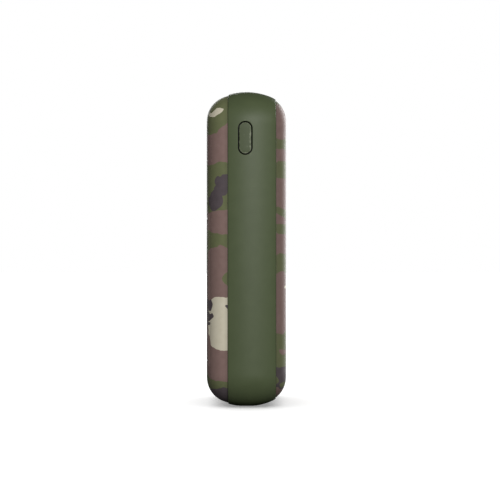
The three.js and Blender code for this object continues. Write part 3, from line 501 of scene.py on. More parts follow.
def make_band():
    front = FRONT_SEAM + HALF_SEAM
    back = BACK_SEAM - HALF_SEAM
    front_edge, front_start = lip(front, -1, -BAND_PROUD, BAND_LIP_RADIUS)
    back_edge, back_start = lip(back, 1, -BAND_PROUD, BAND_LIP_RADIUS)
    outer = rim_run(front_start, back_start, -BAND_PROUD, 40)
    inner = rim_run(slope_at(back, WALL), slope_at(front, WALL), WALL, 18)
    inner[0] = (back, inner[0][1])
    inner[-1] = (front, inner[-1][1])
    profile = list(reversed(front_edge)) + outer[1:-1] + back_edge + inner
    rings = [[(x, y, max(z, 0)) for x, y, z in ring(y, inset)] for y, inset in profile]
    band = loft("band_shell", rings, loop=True)
    talk_width = TALK_HALF_WIDTH + TALK_SLIT
    talk_length = TALK_HALF_LENGTH + TALK_SLIT
    carve(band, [side_hole(middle("talk_button"), talk_width, talk_length, -1, 0, 0.12)])
    knob = middle("power_knob")
    recess = knob + Vector((0, 0, POWER_TRAVEL / 2))
    recess_width = POWER_HALF_WIDTH + GAP
    recess_length = POWER_HALF_LENGTH + GAP + POWER_TRAVEL / 2
    floor_x = WIDTH / 2 - POWER_RECESS
    carve(band, [side_hole(recess, recess_width, recess_length, 1, floor_x, 0.35)])
    half = STEM_HALF_WIDTH + GAP
    reach = STEM_HALF_LENGTH + GAP
    carve(band, [block(0, REACH, -half, half, knob.z - reach, knob.z + reach + POWER_TRAVEL)])
    return smooth(band)


DOOR_EAR = 4.6
DOOR_EAR_HEIGHT = 8
DOOR_HOOK_HEIGHT = 1.7
DOOR_CORNER = 1.6
DOOR_LEDGE = 0.8


def door_panel():
    """Half the width, the bottom and the top of the battery door without its ear and hooks."""
    low, high = span("battery_door")
    return high.x, low.z + DOOR_EAR_HEIGHT, high.z - DOOR_HOOK_HEIGHT


def door_outline(extra):
    """(x, z) pairs round the battery door and its ear, grown by extra."""
    half, bottom, top = door_panel()
    bottom -= extra
    ear = DOOR_EAR + extra
    ear_z = span("battery_door")[0].z + DOOR_EAR
    corner = DOOR_CORNER + extra * 0.5
    flat = half + extra - corner
    low_z = bottom + corner
    high_z = top + extra - corner
    return chain([
        (arc(0, ear_z, ear, 1, 1, 32), 6),
        ([(ear, bottom)], 6),
        (arc(flat, low_z, corner, 1.5, 0.5, 8), 40),
        (arc(flat, high_z, corner, 0, 0.5, 8), 1),
        (arc(-flat, high_z, corner, 0.5, 0.5, 8), 40),
        (arc(-flat, low_z, corner, 1, 0.5, 8), 6),
        ([(-ear, bottom)], 6),
    ])


DOOR_ROUND = 0.28


def door_prism(y0, extra, flare):
    """Vertices and faces of a solid with the door's outline, from y0 out through the back face.

    Flare is +1 for the pocket's rim, which opens out, and -1 for the door's own rim, which closes in.
    """
    rings = [[(x, y0, z) for x, z in door_outline(extra)]]
    for growth, depth in rounding(DOOR_ROUND):
        rings.append([(x, back_y(x, z) - depth, z) for x, z in door_outline(extra + flare * growth)])
    rings.append([(x, FACE_Y + 2, z) for x, z in door_outline(extra + flare * DOOR_ROUND)])
    return loft_parts(rings)


HEAD_HOLE = 2.5
EAR_FLOOR = 6.6
BOSS_RADIUS = 2.9
POST_START = -3.1
RIB_SPACING = 14


def make_back_cover():
    cover = loft("back_shell", cover_rings(1, BACK_SEAM + HALF_SEAM, BACK_TONGUE_TIP))
    half, bottom, top = door_panel()
    ledge_y = BACK_INSIDE - GAP
    ledge_in = ledge_y - DOOR_LEDGE
    root = FACE_Y - WALL / 2
    step = 1.3
    carve(cover, [block(-half - 2, half + 2, ledge_in, root, bottom - 2, top + 2)], "UNION")
    carve(cover, [block(step - half, half - step, 0, REACH, bottom + step, top - step)])
    ear_bottom = span("battery_door")[0].z - 2
    carve(cover, [block(-EAR_FLOOR, EAR_FLOOR, ledge_in, root, ear_bottom, bottom + step)], "UNION")
    screw = middle("door_screw")
    boss_low = ledge_y - 3.6
    boss_high = ledge_y - 0.4
    boss = [(0, boss_low), (BOSS_RADIUS, boss_low), (BOSS_RADIUS, boss_high), (0, boss_high)]
    carve(cover, [turned_parts(boss, screw, 40)], "UNION")
    post = soften([(0, POST_START), (POST_RADIUS, POST_START), (POST_RADIUS, root), (0, root)], 0.15, 2)
    carve(cover, [turned_parts(post, place, 40) for place in case_screws()], "UNION")
    carve(cover, [door_prism(ledge_y, GAP, 1)])
    notch = HOOK_HALF_WIDTH + GAP
    notches = [block(x - notch, x + notch, 0, BACK_INSIDE, top - 1.6, top + 2.3) for x in (-HOOK_X, HOOK_X)]
    carve(cover, notches)
    holes = [turned_parts([(0, 0), (1.5, 0), (1.5, REACH), (0, REACH)], screw, 32)]
    for place in case_screws():
        points = [(0, -5), (SCREW_HOLE, -5), (SCREW_HOLE, 4), (HEAD_HOLE, 4)]
        rim_y = back_y(place.x, place.z)
        points.extend((HEAD_HOLE + growth, rim_y - depth) for growth, depth in rounding(0.3))
        points.extend([(HEAD_HOLE + 0.3, FACE_Y + 2), (0, FACE_Y + 2)])
        holes.append(turned_parts(points, place, 48))
    carve(cover, holes)
    return smooth(cover)


def make_battery_door():
    half, bottom, top = door_panel()
    hook_top = span("battery_door")[1].z
    door = piece("door_panel", *door_prism(BACK_INSIDE, 0, -1))
    carve(door, [whole_form()], "INTERSECT")
    hook_in = BACK_INSIDE - GAP - 1
    hook_out = BACK_INSIDE - GAP
    sides = [(x - HOOK_HALF_WIDTH, x + HOOK_HALF_WIDTH) for x in (-HOOK_X, HOOK_X)]
    carve(door, [block(*side, hook_in, hook_out, top - 2.2, hook_top) for side in sides], "UNION")
    root = BACK_INSIDE + GAP
    roots = [block(*side, hook_in, root, top - 2.2, top - GAP) for side in sides]
    rib_end = span("battery_1")[1].y + GAP
    for step in (-1, 0, 1):
        z = (bottom + top) / 2 + step * RIB_SPACING
        roots.append(block(3 - half, half - 3, rib_end, root, z - 0.6, z + 0.6))
    carve(door, roots, "UNION")
    screw = middle("door_screw")
    seat = FACE_Y - 1.2
    points = [(0, 0), (SCREW_HOLE, 0), (SCREW_HOLE, seat), (HEAD_HOLE, seat)]
    points.extend((HEAD_HOLE + growth, FACE_Y - depth) for growth, depth in rounding(0.25))
    points.extend([(HEAD_HOLE + 0.25, FACE_Y + 2), (0, FACE_Y + 2)])
    carve(door, [turned_parts(points, screw, 48)])
    return smooth(door)


THREAD_PITCH = 0.55
THREAD_ROOT = 0.85
THREAD_CREST = 1.09
CROSS_LENGTH = 1.35
CROSS_WIDTH = 0.27
CROSS_TAPER = 0.45


def make_screw(node, name, head):
    """A cross-head screw with a thread, pointing to -Y. Head is its head's thickness."""
    low, high = span(node)
    centre = (low + high) / 2
    seat = high.y - head
    points = [(0, low.y), (0.45, low.y + 0.1), (0.8, low.y + 0.8)]
    y = low.y + 0.9
    while y + THREAD_PITCH < seat - 0.6:
        points.extend([(THREAD_ROOT, y), (THREAD_CREST, y + 0.45 * THREAD_PITCH)])
        points.extend([(THREAD_CREST, y + 0.55 * THREAD_PITCH), (THREAD_ROOT, y + 0.95 * THREAD_PITCH)])
        y += THREAD_PITCH
    points.extend([(1.0, seat - 0.4), (1.1, seat), (2.1, seat), (2.2, seat + 0.12)])
    points.extend([(2.2, seat + head * 0.45), (2.02, high.y - head * 0.22)])
    points.extend([(1.6, high.y - 0.05), (1.1, high.y), (0, high.y)])
    screw = turned(name, points, centre, 56)
    floor = seat + head * 0.35
    for x, z in ((CROSS_LENGTH, CROSS_WIDTH), (CROSS_WIDTH, CROSS_LENGTH)):
        corners = [(-x, -z), (x, -z), (x, z), (-x, z)]
        base = [(centre.x + a * CROSS_TAPER, floor, centre.z + b * CROSS_TAPER) for a, b in corners]
        rim = [(centre.x + a, high.y + 0.2, centre.z + b) for a, b in corners]
        carve(screw, [loft_parts([base, rim])])
    return smooth(screw, 28)


# ---- controls ----

TALK_FILLET = 0.28
TALK_CROWN = 0.1
TALK_STEM = 1.8
TALK_STEM_LENGTH = 2.4
TALK_CROWN_STEPS = 6


def rounded_end(face, side, fillet, half_width, half_length, steps):
    """(x, half width, half length) round the rim of a pad that looks along X to side, -1 or +1."""
    rim = arc(fillet, fillet, -fillet, 0, 0.5, steps)
    return [(face - side * depth, half_width - shrink, half_length - shrink) for shrink, depth in rim]


def oblong_loft(name, profile, y, z):
    rings = [[(x, y + a, z + b) for a, b in oblong(wide, long)] for x, wide, long in profile]
    return loft(name, rings)


def make_talk_button():
    """An oblong cap with a crowned top, its flange behind the band and its stem."""
    low, high = span("talk_button")
    y = (low.y + high.y) / 2
    z = middle("talk_plunger").z
    flange = high.x - TALK_STEM_LENGTH
    flange_width = (high.y - low.y) / 2
    flange_length = (high.z - low.z) / 2
    profile = [
        (high.x, TALK_STEM, TALK_STEM),
        (flange, TALK_STEM, TALK_STEM),
        (flange, flange_width, flange_length),
        (flange - 1, flange_width, flange_length),
        (flange - 1, TALK_HALF_WIDTH, TALK_HALF_LENGTH),
    ]
    face = low.x + TALK_CROWN
    profile.extend(rounded_end(face, -1, TALK_FILLET, TALK_HALF_WIDTH, TALK_HALF_LENGTH, 8))
    for i in range(1, TALK_CROWN_STEPS):
        share = i / TALK_CROWN_STEPS
        shrink = TALK_FILLET + (TALK_HALF_WIDTH - TALK_FILLET) * share
        x = face - TALK_CROWN * sin(share * pi / 2)
        profile.append((x, TALK_HALF_WIDTH - shrink, TALK_HALF_LENGTH - shrink))
    return smooth(oblong_loft("talk_cap", profile, y, z), 40)


POWER_GROOVE_SPACING = 1.8


def make_power_knob():
    """A ribbed oblong pad on a stem, with the flange that holds it in the band."""
    low, high = span("power_knob")
    z = (low.z + high.z) / 2
    inner = WIDTH / 2 - POWER_RECESS + GAP
    profile = [(inner, POWER_HALF_WIDTH, POWER_HALF_LENGTH)]
    profile.extend(rounded_end(high.x, 1, 0.2, POWER_HALF_WIDTH, POWER_HALF_LENGTH, 4))
    knob = oblong_loft("power_pad", profile, 0, z)
    grooves = []
    for step in (-1, 0, 1):
        centre = z + step * POWER_GROOVE_SPACING
        path = [(high.x + 0.05, -5, centre), (high.x + 0.05, 5, centre)]
        grooves.append(pipe_parts(path, 0.4, 20))
    carve(knob, grooves)
    wide = STEM_HALF_WIDTH
    long = STEM_HALF_LENGTH
    carve(knob, [block(low.x + 1.4, inner + 0.2, -wide, wide, z - long, z + long)], "UNION")
    carve(knob, [block(low.x, low.x + 1.7, -2.5, 2.5, z - 3, z + 3)], "UNION")
    carve(knob, [block(0, low.x + 1.1, -1.1, 1.1, z - 1.1, z + 1.1)])
    return smooth(knob)


def make_call_button():
    low, high = span("call_button")
    face = low.y
    points = [(0, face + 0.3), (1.6, face + 0.27), (2.9, face + 0.16), (3.7, face + 0.02), (4.05, face)]
    points.extend([(4.35, face + 0.06), (4.53, face + 0.22), (4.6, face + 0.45), (4.6, FLANGE_Y)])
    points.extend([(6.1, FLANGE_Y), (6.1, FLANGE_Y + 1), (2, FLANGE_Y + 1)])
    points.extend([(2, high.y), (0, high.y)])
    return smooth(turned("call_cap", points, middle("call_button"), 96), 40)


def make_light_pipe():
    low, high = span("light_pipe")
    face = low.y
    shoulder = FLANGE_Y + 0.8
    points = [(0, face), (0.6, face + 0.02), (1.0, face + 0.1), (1.22, face + 0.26), (1.3, face + 0.45)]
    points.extend([(1.3, FLANGE_Y), (2.3, FLANGE_Y), (2.3, shoulder), (1.3, shoulder)])
    points.extend([(1.3, high.y), (0, high.y)])
    return smooth(turned("lamp_window", points, middle("light_pipe"), 48), 40)


def make_cloth():
    low, high = span("grille_cloth")
    radius = (high.x - low.x) / 2
    points = soften([(0, low.y), (radius, low.y), (radius, high.y), (0, high.y)], 0.15)
    return smooth(turned("speaker_cloth", points, middle("grille_cloth")))


# ---- batteries ----

CELL_NUB = 0.8
SPRING_WIRE = 0.35
SPRING_TURNS = 4
SPRING_WIDE = 3.6
SPRING_NARROW = 2.3
INVERTED_CELL = 2


def make_cell(number):
    """A battery with its crimped ends, in its wrapper, along Z."""
    low, high = span(f"battery_{number}")
    centre = (low + high) / 2
    radius = (high.x - low.x) / 2
    up = number != INVERTED_CELL
    length = high.z - low.z
    rim = length - CELL_NUB
    points = [(0, 0.25), (3.4, 0.25), (3.7, 0.0), (4.5, 0.0), (4.95, 0.12), (5.18, 0.45), (radius, 0.9)]
    points.extend([(radius, rim - 1.0), (5.1, rim - 0.45), (4.75, rim - 0.1), (4.3, rim)])
    points.extend([(4.0, rim - 0.25), (2.3, rim - 0.25), (1.95, rim - 0.1)])
    points.extend([(1.9, length - 0.25), (1.65, length), (0, length)])
    vertices, faces = turned_parts(points, Vector(), 64)
    placed = []
    for x, y, z in vertices:
        height = low.z + y if up else high.z - y
        placed.append((centre.x + x, centre.y + z, height))
    return smooth(piece(f"cell_{number}", placed, faces), 35)


def make_spring(number):
    low, high = span(f"battery_spring_{number}")
    centre = middle(f"battery_{number}")
    up = number != INVERTED_CELL
    path = []
    steps = SPRING_TURNS * 28
    for i in range(steps + 1):
        share = i / steps
        angle = share * SPRING_TURNS * 2 * pi
        radius = SPRING_WIDE + (SPRING_NARROW - SPRING_WIDE) * share
        rise = SPRING_WIRE + (high.z - low.z - 2 * SPRING_WIRE) * share
        z = low.z + rise if up else high.z - rise
        path.append((centre.x + radius * cos(angle), centre.y + radius * sin(angle) * 0.97, z))
    return smooth(piece(f"coil_{number}", *pipe_parts(path, SPRING_WIRE * 0.96, 12)), 60)


def make_contact(node, name):
    """A contact plate with softened edges."""
    low, high = span(node)
    plate = piece(name, *block(low.x, high.x, low.y, high.y, low.z, high.z))
    bevel = plate.modifiers.new("edges", "BEVEL")
    bevel.width = 0.12 * MM
    bevel.segments = 3
    settle(plate)
    return smooth(plate)


# ---- materials ----


def srgb(red, green, blue):
    """Linear colour from 0 to 255 display values."""
    def one(value):
        share = value / 255
        return share / 12.92 if share <= 0.04045 else ((share + 0.055) / 1.055) ** 2.4
    return one(red), one(green), one(blue), 1.0


class Paint:
    """A material built from nodes, in the object's own coordinates in millimetres."""

    def __init__(self, name):
        self.material = bpy.data.materials.new(name)
        self.material.use_nodes = True
        self.tree = self.material.node_tree
        self.shader = self.tree.nodes["Principled BSDF"]
        place = self.node("TexCoord", {})
        self.place = self.vector("SCALE", place.outputs["Object"], scale=1 / MM)

    def feed(self, sockets, values):
        """Links each named socket to another one, or sets it to a plain value."""
        for name, value in values.items():
            if isinstance(value, bpy.types.NodeSocket):
                self.tree.links.new(value, sockets[name])
            else:
                sockets[name].default_value = value

    def node(self, kind, inputs, **settings):
        made = self.tree.nodes.new("ShaderNode" + kind)
        for name, value in settings.items():
            setattr(made, name, value)
        self.feed(made.inputs, inputs)
        return made

    def made(self, colour, roughness, normal, **others):
        """The material, with its shader fed. Others are named with _ for a space."""
        self.feed(self.shader.inputs, {"Base Color": colour, "Roughness": roughness, "Normal": normal})
        self.feed(self.shader.inputs, {name.replace("_", " "): value for name, value in others.items()})
        return self.material

    def math(self, operation, first, second=0.0):
        return self.node("Math", {0: first, 1: second}, operation=operation).outputs[0]

    def times(self, first, second):
        return self.math("MULTIPLY", first, second)

    def plus(self, first, second):
        return self.math("ADD", first, second)

    def minus(self, first, second):
        return self.math("SUBTRACT", first, second)

    def vector(self, operation, first, second=None, scale=None):
        inputs = {0: first}
        if second is not None:
            inputs[1] = second
        if scale is not None:
            inputs["Scale"] = scale
        node = self.node("VectorMath", inputs, operation=operation)
        return node.outputs["Value" if operation == "LENGTH" else "Vector"]

    def along(self, axis):
        return self.node("SeparateXYZ", {0: self.place}).outputs[axis]

    def noise(self, scale, detail=2.0, place=None, output="Fac"):
        inputs = {"Vector": self.place if place is None else place, "Scale": scale, "Detail": detail}
        return self.node("TexNoise", inputs).outputs[output]

    def step(self, value, low, high, to_low=0.0, to_high=1.0):
        """Goes smoothly from to_low to to_high while value goes from low to high."""
        inputs = {"Value": value, "From Min": low, "From Max": high, "To Min": to_low, "To Max": to_high}
        return self.node("MapRange", inputs, interpolation_type="SMOOTHSTEP").outputs["Result"]

    def mix(self, factor, first, second):
        """Mixes colours, which are the node's inputs 6 and 7 and its output 2."""
        inputs = {"Factor": factor, 6: first, 7: second}
        return self.node("Mix", inputs, data_type="RGBA").outputs[2]

    def bump(self, height, depth, strength):
        """A bump of depth millimetres."""
        inputs = {"Strength": strength, "Distance": depth * MM, "Height": height}
        return self.node("Bump", inputs).outputs["Normal"]

    def edge_wear_and_highlight(self, low=0.53, high=0.62):
        """How sharp the surface's outer edges are here, broken up with noise."""
        rough = self.times(self.minus(self.noise(0.9, 4.0), 0.5), 0.09)
        sharpness = self.node("NewGeometry", {}).outputs["Pointiness"]
        return self.step(self.plus(sharpness, rough), low, high)


# Camouflage patches on the talk-button side, as (y, z, half width, half height, turn) in millimetres and
# degrees. Bands are squarish and cross a whole cover's side, and blobs and spots are round.
BROWN_BANDS = [
    (12.0, 97.8, 9.0, 5.8, 0), (11.5, 70.05, 9.0, 4.1, 2), (11.5, 39.6, 9.0, 21.6, 0),
    (11.5, 17.6, 9.0, 6.4, 30),
    (-14.0, 108.3, 5.0, 7.3, 0), (-13.5, 95.2, 5.0, 2.4, 0), (-13.5, 81.0, 5.0, 5.8, 0),
    (-13.5, 71.0, 5.0, 1.6, 12), (-13.5, 61.8, 5.0, 3.9, 0), (-13.5, 39.4, 5.0, 11.8, 0),
]
BROWN_BLOBS = [(6.0, 101.9, 6.5, 4.8, -28), (-14.4, 21.0, 1.9, 1.3, 0)]
GREEN_BLOBS = [
    (6.4, 48.6, 2.9, 3.2, 0), (-11.4, 54.2, 2.6, 3.6, 0), (-11.2, 99.6, 2.2, 2.0, 0),
    (7.6, 78.0, 2.0, 3.6, 0),
]
GREEN_SPOTS = [(-11.2, 10.4, 1.5, 1.5, 0), (-14.6, 7.8, 2.2, 1.2, 35)]
BROWN_SPOTS = [(-13.1, 5.0, 3.4, 2.1, 30)]
DARK_BANDS = [(11.0, 3.1, 8.0, 3.9, -7), (-13.5, 10.5, 5.0, 4.7, 0)]
DARK_BLOBS = [
    (8.0, 84.9, 4.2, 3.1, 0), (12.2, 78.0, 2.6, 4.0, 8), (9.8, 82.2, 2.6, 2.8, 40),
    (14.7, 39.2, 2.6, 2.6, 0), (14.9, 35.0, 1.9, 2.4, 0), (15.2, 31.6, 1.6, 1.5, 0),
    (6.8, 38.4, 1.6, 0.8, 0),
]
BEIGE_BANDS = [(8.6, 31.9, 6.4, 9.7, -4)]
BEIGE_BLOBS = [(11.6, 111.5, 3.6, 1.2, -12), (15.2, 93.7, 1.2, 0.9, 0), (-15.5, 45.7, 1.2, 1.4, 0)]
PATCH_X = -27.0
PATCH_REACH = 13.0
PATCH_SPREAD = 3.5


def patches(paint, place, bands, blobs):
    """A field that is below 1 inside any of the bands or blobs."""
    nearest = None
    for number, (y, z, half_y, half_z, turn) in enumerate(bands + blobs):
        reach_x = PATCH_REACH + PATCH_SPREAD * sin(2.4 * number)
        inputs = {
            "Vector": place,
            "Location": (PATCH_X, y, z),
            "Rotation": (radians(turn), 0, 0),
            "Scale": (reach_x, half_y, half_z),
        }
        away = paint.node("Mapping", inputs, vector_type="TEXTURE").outputs["Vector"]
        if number < len(bands):
            away = paint.vector("MULTIPLY", away, away)
        distance = paint.vector("LENGTH", away)
        nearest = distance if nearest is None else paint.math("MINIMUM", nearest, distance)
    return nearest


def camouflage():
    """Four colours in patches, with painted shade along the seams by the band and paler rubbed edges."""
    paint = Paint("camouflage_print")
    drift = paint.vector("SUBTRACT", paint.noise(0.16, output="Color"), (0.5, 0.5, 0.5))
    place = paint.vector("ADD", paint.place, paint.vector("SCALE", drift, scale=4.5))
    away = paint.step(paint.along("X"), -20.0, -15.0)
    soft_edge = (-0.0054, 0.0126)

    def spots(blobs):
        return paint.step(paint.minus(1.0, patches(paint, place, [], blobs)), *soft_edge)

    def cover(bands, blobs, offset, scale, threshold):
        """The given patches on the talk-button side, and noise everywhere else."""
        inside = paint.minus(1.0, patches(paint, place, bands, blobs))
        moved = paint.vector("ADD", place, offset)
        stretched = paint.vector("MULTIPLY", moved, (scale, scale, scale * 1.5))
        field = paint.minus(paint.noise(1.0, 1.2, stretched), threshold)
        field = paint.minus(field, paint.minus(1.0, away))
        return paint.step(paint.math("MAXIMUM", inside, field), *soft_edge)

    mottle = paint.noise(0.45, 3.0)
    green = paint.mix(mottle, srgb(110, 116, 80), srgb(125, 130, 93))
    brown = paint.mix(mottle, srgb(137, 112, 105), srgb(156, 129, 123))
    dark = paint.mix(mottle, srgb(86, 77, 80), srgb(108, 98, 102))
    beige = paint.mix(mottle, srgb(226, 217, 192), srgb(244, 237, 214))
    colour = paint.mix(cover(BROWN_BANDS, BROWN_BLOBS, (31, 0, 7), 0.05, 0.5), green, brown)
    colour = paint.mix(spots(GREEN_BLOBS), colour, green)
    colour = paint.mix(cover(BEIGE_BANDS, BEIGE_BLOBS, (90, -35, -21), 0.058, 0.635), colour, beige)
    colour = paint.mix(cover(DARK_BANDS, DARK_BLOBS, (-57, 11, 40), 0.062, 0.6), colour, dark)
    colour = paint.mix(spots(GREEN_SPOTS), colour, green)
    colour = paint.mix(spots(BROWN_SPOTS), colour, brown)
    y = paint.along("Y")
    off_the_flats = paint.step(paint.math("ABSOLUTE", y), FACE_Y - 0.01, FACE_Y - 0.06)
    edge_paling = paint.times(paint.times(paint.edge_wear_and_highlight(), off_the_flats), 0.35)
    colour = paint.mix(edge_paling, colour, srgb(150, 148, 132))
    # Painted shade: the covers are darkened next to their seams with the band, more on the front cover.
    back_seam_shade = paint.step(paint.minus(y, BACK_SEAM), 1.6, 0.0, 0.0, 0.22)
    front_seam_shade = paint.step(paint.minus(FRONT_SEAM, y), 3.8, 0.0, 0.0, 0.36)
    seam_shade = paint.mix(paint.step(y, 0.0, -1.0), back_seam_shade, front_seam_shade)
    colour = paint.mix(seam_shade, colour, srgb(48, 46, 38))
    grain = paint.noise(5.0, 3.0)
    roughness = paint.step(grain, 0.2, 0.8, 0.56, 0.7)
    normal = paint.bump(grain, 0.03, 0.55)
    coat = {"Coat_Weight": 0.06, "Coat_Roughness": 0.35}
    return paint.made(colour, roughness, normal, Specular_IOR_Level=0.3, **coat)


def moulded(name, first, second, rough, grain, pale=None, edge_paling=(0.53, 0.62)):
    """Moulded plastic or rubber in two close display colours. Grain is its scale and depth."""
    paint = Paint(name)
    colour = paint.mix(paint.noise(0.25, 3.0), srgb(*first), srgb(*second))
    if pale is not None:
        # Pale edges: wear on most mouldings, and on the talk cap a painted highlight along its rounded rim.
        colour = paint.mix(paint.times(paint.edge_wear_and_highlight(*edge_paling), 0.4), colour, srgb(*pale))
    scale, depth = grain
    height = paint.noise(scale, 3.0)
    roughness = paint.step(height, 0.2, 0.8, *rough)
    return paint.made(colour, roughness, paint.bump(height, depth, 0.6), Specular_IOR_Level=0.35)


def metal(name, first, second, rough, brush=(1.0, 12.0, 1.0)):
    """Metal with fine brushing across it and darker patches."""
    paint = Paint(name)
    streak = paint.noise(1.2, 4.0, paint.vector("MULTIPLY", paint.place, brush))
    colour = paint.mix(paint.noise(0.4, 3.0), srgb(*first), srgb(*second))
    roughness = paint.step(streak, 0.25, 0.75, *rough)
    return paint.made(colour, roughness, paint.bump(streak, 0.01, 0.5), Metallic=1.0)


def battery_skin():
    """A printed wrapper with bare metal at both ends and a copper band towards the button end."""
    paint = Paint("battery_wrapper")
    low, high = span("battery_1")
    z = paint.along("Z")
    from_top = paint.minus(high.z, z)
    from_bottom = paint.minus(z, low.z)
    bare = paint.step(paint.math("MINIMUM", from_bottom, from_top), 0.95, 0.75)
    outer_cells = paint.step(paint.math("ABSOLUTE", paint.along("X")), 5.4, 5.7)
    middle_cell = paint.minus(1.0, outer_cells)
    from_button = paint.plus(paint.times(outer_cells, from_top), paint.times(middle_cell, from_bottom))
    band = paint.step(from_button, 12.2, 12.0)
    line = paint.times(paint.step(from_button, 13.0, 12.9), paint.step(from_button, 12.4, 12.5))
    tone = paint.noise(0.6, 3.0)
    skin = paint.mix(tone, srgb(38, 44, 60), srgb(46, 54, 72))
    copper = paint.mix(tone, srgb(176, 110, 62), srgb(188, 124, 74))
    colour = paint.mix(band, skin, copper)
    colour = paint.mix(line, colour, srgb(200, 200, 200))
    colour = paint.mix(bare, colour, srgb(190, 188, 182))
    scratch = paint.noise(2.0, 4.0)
    roughness = paint.step(scratch, 0.3, 0.8, 0.22, 0.4)
    metallic = paint.math("MAXIMUM", bare, 0.25)
    return paint.made(colour, roughness, paint.bump(scratch, 0.012, 0.4), Metallic=metallic)


def board_green():
    """Solder mask with copper tracks showing through as paler lines, and tinned pads."""
    paint = Paint("board_mask")
    x = paint.along("X")
    z = paint.along("Z")

    def wave(value, scale):
        """Runs from -0.5 to 0.5 over and over."""
        return paint.minus(paint.math("FRACT", paint.times(value, scale)), 0.5)

    bent = paint.plus(x, paint.times(paint.step(paint.noise(0.07, 1.0), 0.44, 0.56), 3.0))
    stripe = paint.math("ABSOLUTE", wave(bent, 0.62))
    track = paint.times(paint.step(stripe, 0.17, 0.13), paint.step(paint.noise(0.09, 0.0), 0.42, 0.46))
    cell_x = wave(x, 0.31)
    cell_z = wave(z, 0.31)
    square = paint.plus(paint.times(cell_x, cell_x), paint.times(cell_z, cell_z))
    pad = paint.times(paint.step(square, 0.05, 0.04), paint.step(paint.noise(0.12, 0.0), 0.52, 0.56))
    mask = paint.mix(track, srgb(22, 78, 44), srgb(46, 112, 62))
    colour = paint.mix(pad, mask, srgb(196, 190, 176))
    roughness = paint.step(paint.noise(3.0, 3.0), 0.3, 0.7, 0.28, 0.42)
    normal = paint.bump(paint.math("MAXIMUM", track, pad), 0.04, 0.6)
    return paint.made(colour, roughness, normal, Metallic=pad)


def woven(name, first, second, pitch):
    """A plain weave of threads running across and up."""
    paint = Paint(name)
    threads = [paint.math("SINE", paint.times(paint.along(axis), 2 * pi / pitch)) for axis in "XZ"]
    height = paint.step(paint.times(*threads), -1.0, 1.0)
    colour = paint.mix(height, srgb(*first), srgb(*second))
    roughness = paint.step(paint.noise(2.0, 3.0), 0.3, 0.7, 0.85, 1.0)
    return paint.made(colour, roughness, paint.bump(height, 0.12, 1.0))


def paper_cone():
    """Pressed paper with fine rings and loose fibres."""
    paint = Paint("cone_paper")
    centre = tuple(middle("speaker_cone"))
    flat = paint.vector("MULTIPLY", paint.vector("SUBTRACT", paint.place, centre), (1, 0, 1))
    rings = paint.math("SINE", paint.times(paint.vector("LENGTH", flat), 9.0))
    fibre = paint.noise(2.5, 5.0, paint.vector("MULTIPLY", paint.place, (1.0, 1.0, 3.0)))
    colour = paint.mix(fibre, srgb(46, 44, 42), srgb(72, 69, 65))
    height = paint.plus(paint.times(rings, 0.3), fibre)
    return paint.made(colour, paint.step(fibre, 0.3, 0.7, 0.85, 0.98), paint.bump(height, 0.05, 0.8))


def clear_plastic(name, tint, transmission):
    paint = Paint(name)
    haze = paint.noise(1.5, 3.0)
    light = srgb(*tint)
    dim = tuple(0.92 * share for share in light[:3]) + (1.0,)
    roughness = paint.step(haze, 0.3, 0.7, 0.12, 0.24)
    normal = paint.bump(haze, 0.01, 0.4)
    return paint.made(paint.mix(haze, light, dim), roughness, normal, Transmission_Weight=transmission)


# ---- putting the pieces in place ----

finishes = {
    "camouflage": camouflage(),
    "band_olive": moulded(
        "olive_band", (81, 92, 62), (89, 100, 69), (0.42, 0.56), (5.0, 0.02), pale=(112, 120, 90)
    ),
    # The talk cap's pale rim is a painted highlight on its rounded edge.
    "button_olive": moulded(
        "olive_button", (76, 86, 58), (83, 93, 64), (0.5, 0.62), (5.0, 0.015),
        pale=(190, 194, 170), edge_paling=(0.508, 0.54),
    ),
    "rubber_black": moulded("soft_rubber", (26, 26, 27), (36, 36, 37), (0.75, 0.9), (3.0, 0.04)),
    "steel": metal("screw_steel", (150, 150, 153), (186, 186, 188), (0.22, 0.42)),
    "nickel": metal("nickel_plate", (186, 180, 166), (208, 203, 190), (0.2, 0.38)),
    "battery_skin": battery_skin(),
    "copper": metal("copper_wire", (168, 92, 52), (196, 116, 72), (0.2, 0.35), (6.0, 6.0, 6.0)),
    "board_green": board_green(),
    "black_plastic": moulded(
        "black_moulding", (24, 25, 27), (34, 35, 37), (0.42, 0.58), (3.5, 0.03), pale=(70, 70, 70)
    ),
    "grey_plastic": moulded("grey_moulding", (122, 124, 126), (142, 144, 146), (0.4, 0.55), (3.5, 0.03)),
    "ferrite": moulded("ferrite_rod", (40, 38, 37), (60, 56, 54), (0.7, 0.85), (1.6, 0.05)),
    "paper_cone": paper_cone(),
    "cloth_black": woven("grille_weave", (20, 20, 21), (52, 52, 54), 0.5),
    "foam_black": moulded("open_foam", (24, 24, 24), (46, 46, 46), (0.9, 1.0), (1.8, 0.15)),
    "clear_plastic": clear_plastic("clear_window", (225, 235, 230), 0.9),
    "lamp_red": clear_plastic("red_lamp", (190, 40, 34), 0.35),
    "lead_red": moulded("red_sleeve", (150, 30, 26), (176, 42, 34), (0.38, 0.5), (4.0, 0.02)),
    "lead_black": moulded("black_sleeve", (22, 22, 23), (34, 34, 35), (0.38, 0.5), (4.0, 0.02)),
}

node_slots = {entry["node"]: entry["material_slot"] for entry in frame["record"]["subparts"]}
node_bodies = {}
for body, members in frame["record"]["behaviour"]["bodies"].items():
    for node in members:
        node_bodies[node] = body


def finish(thing, node):
    """thing takes the place of a CAD node, on its body and in its material."""
    slot = node_slots[node]
    thing.data.materials.clear()
    thing.data.materials.append(finishes[slot])
    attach(thing, node_bodies[node])
    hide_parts(node)


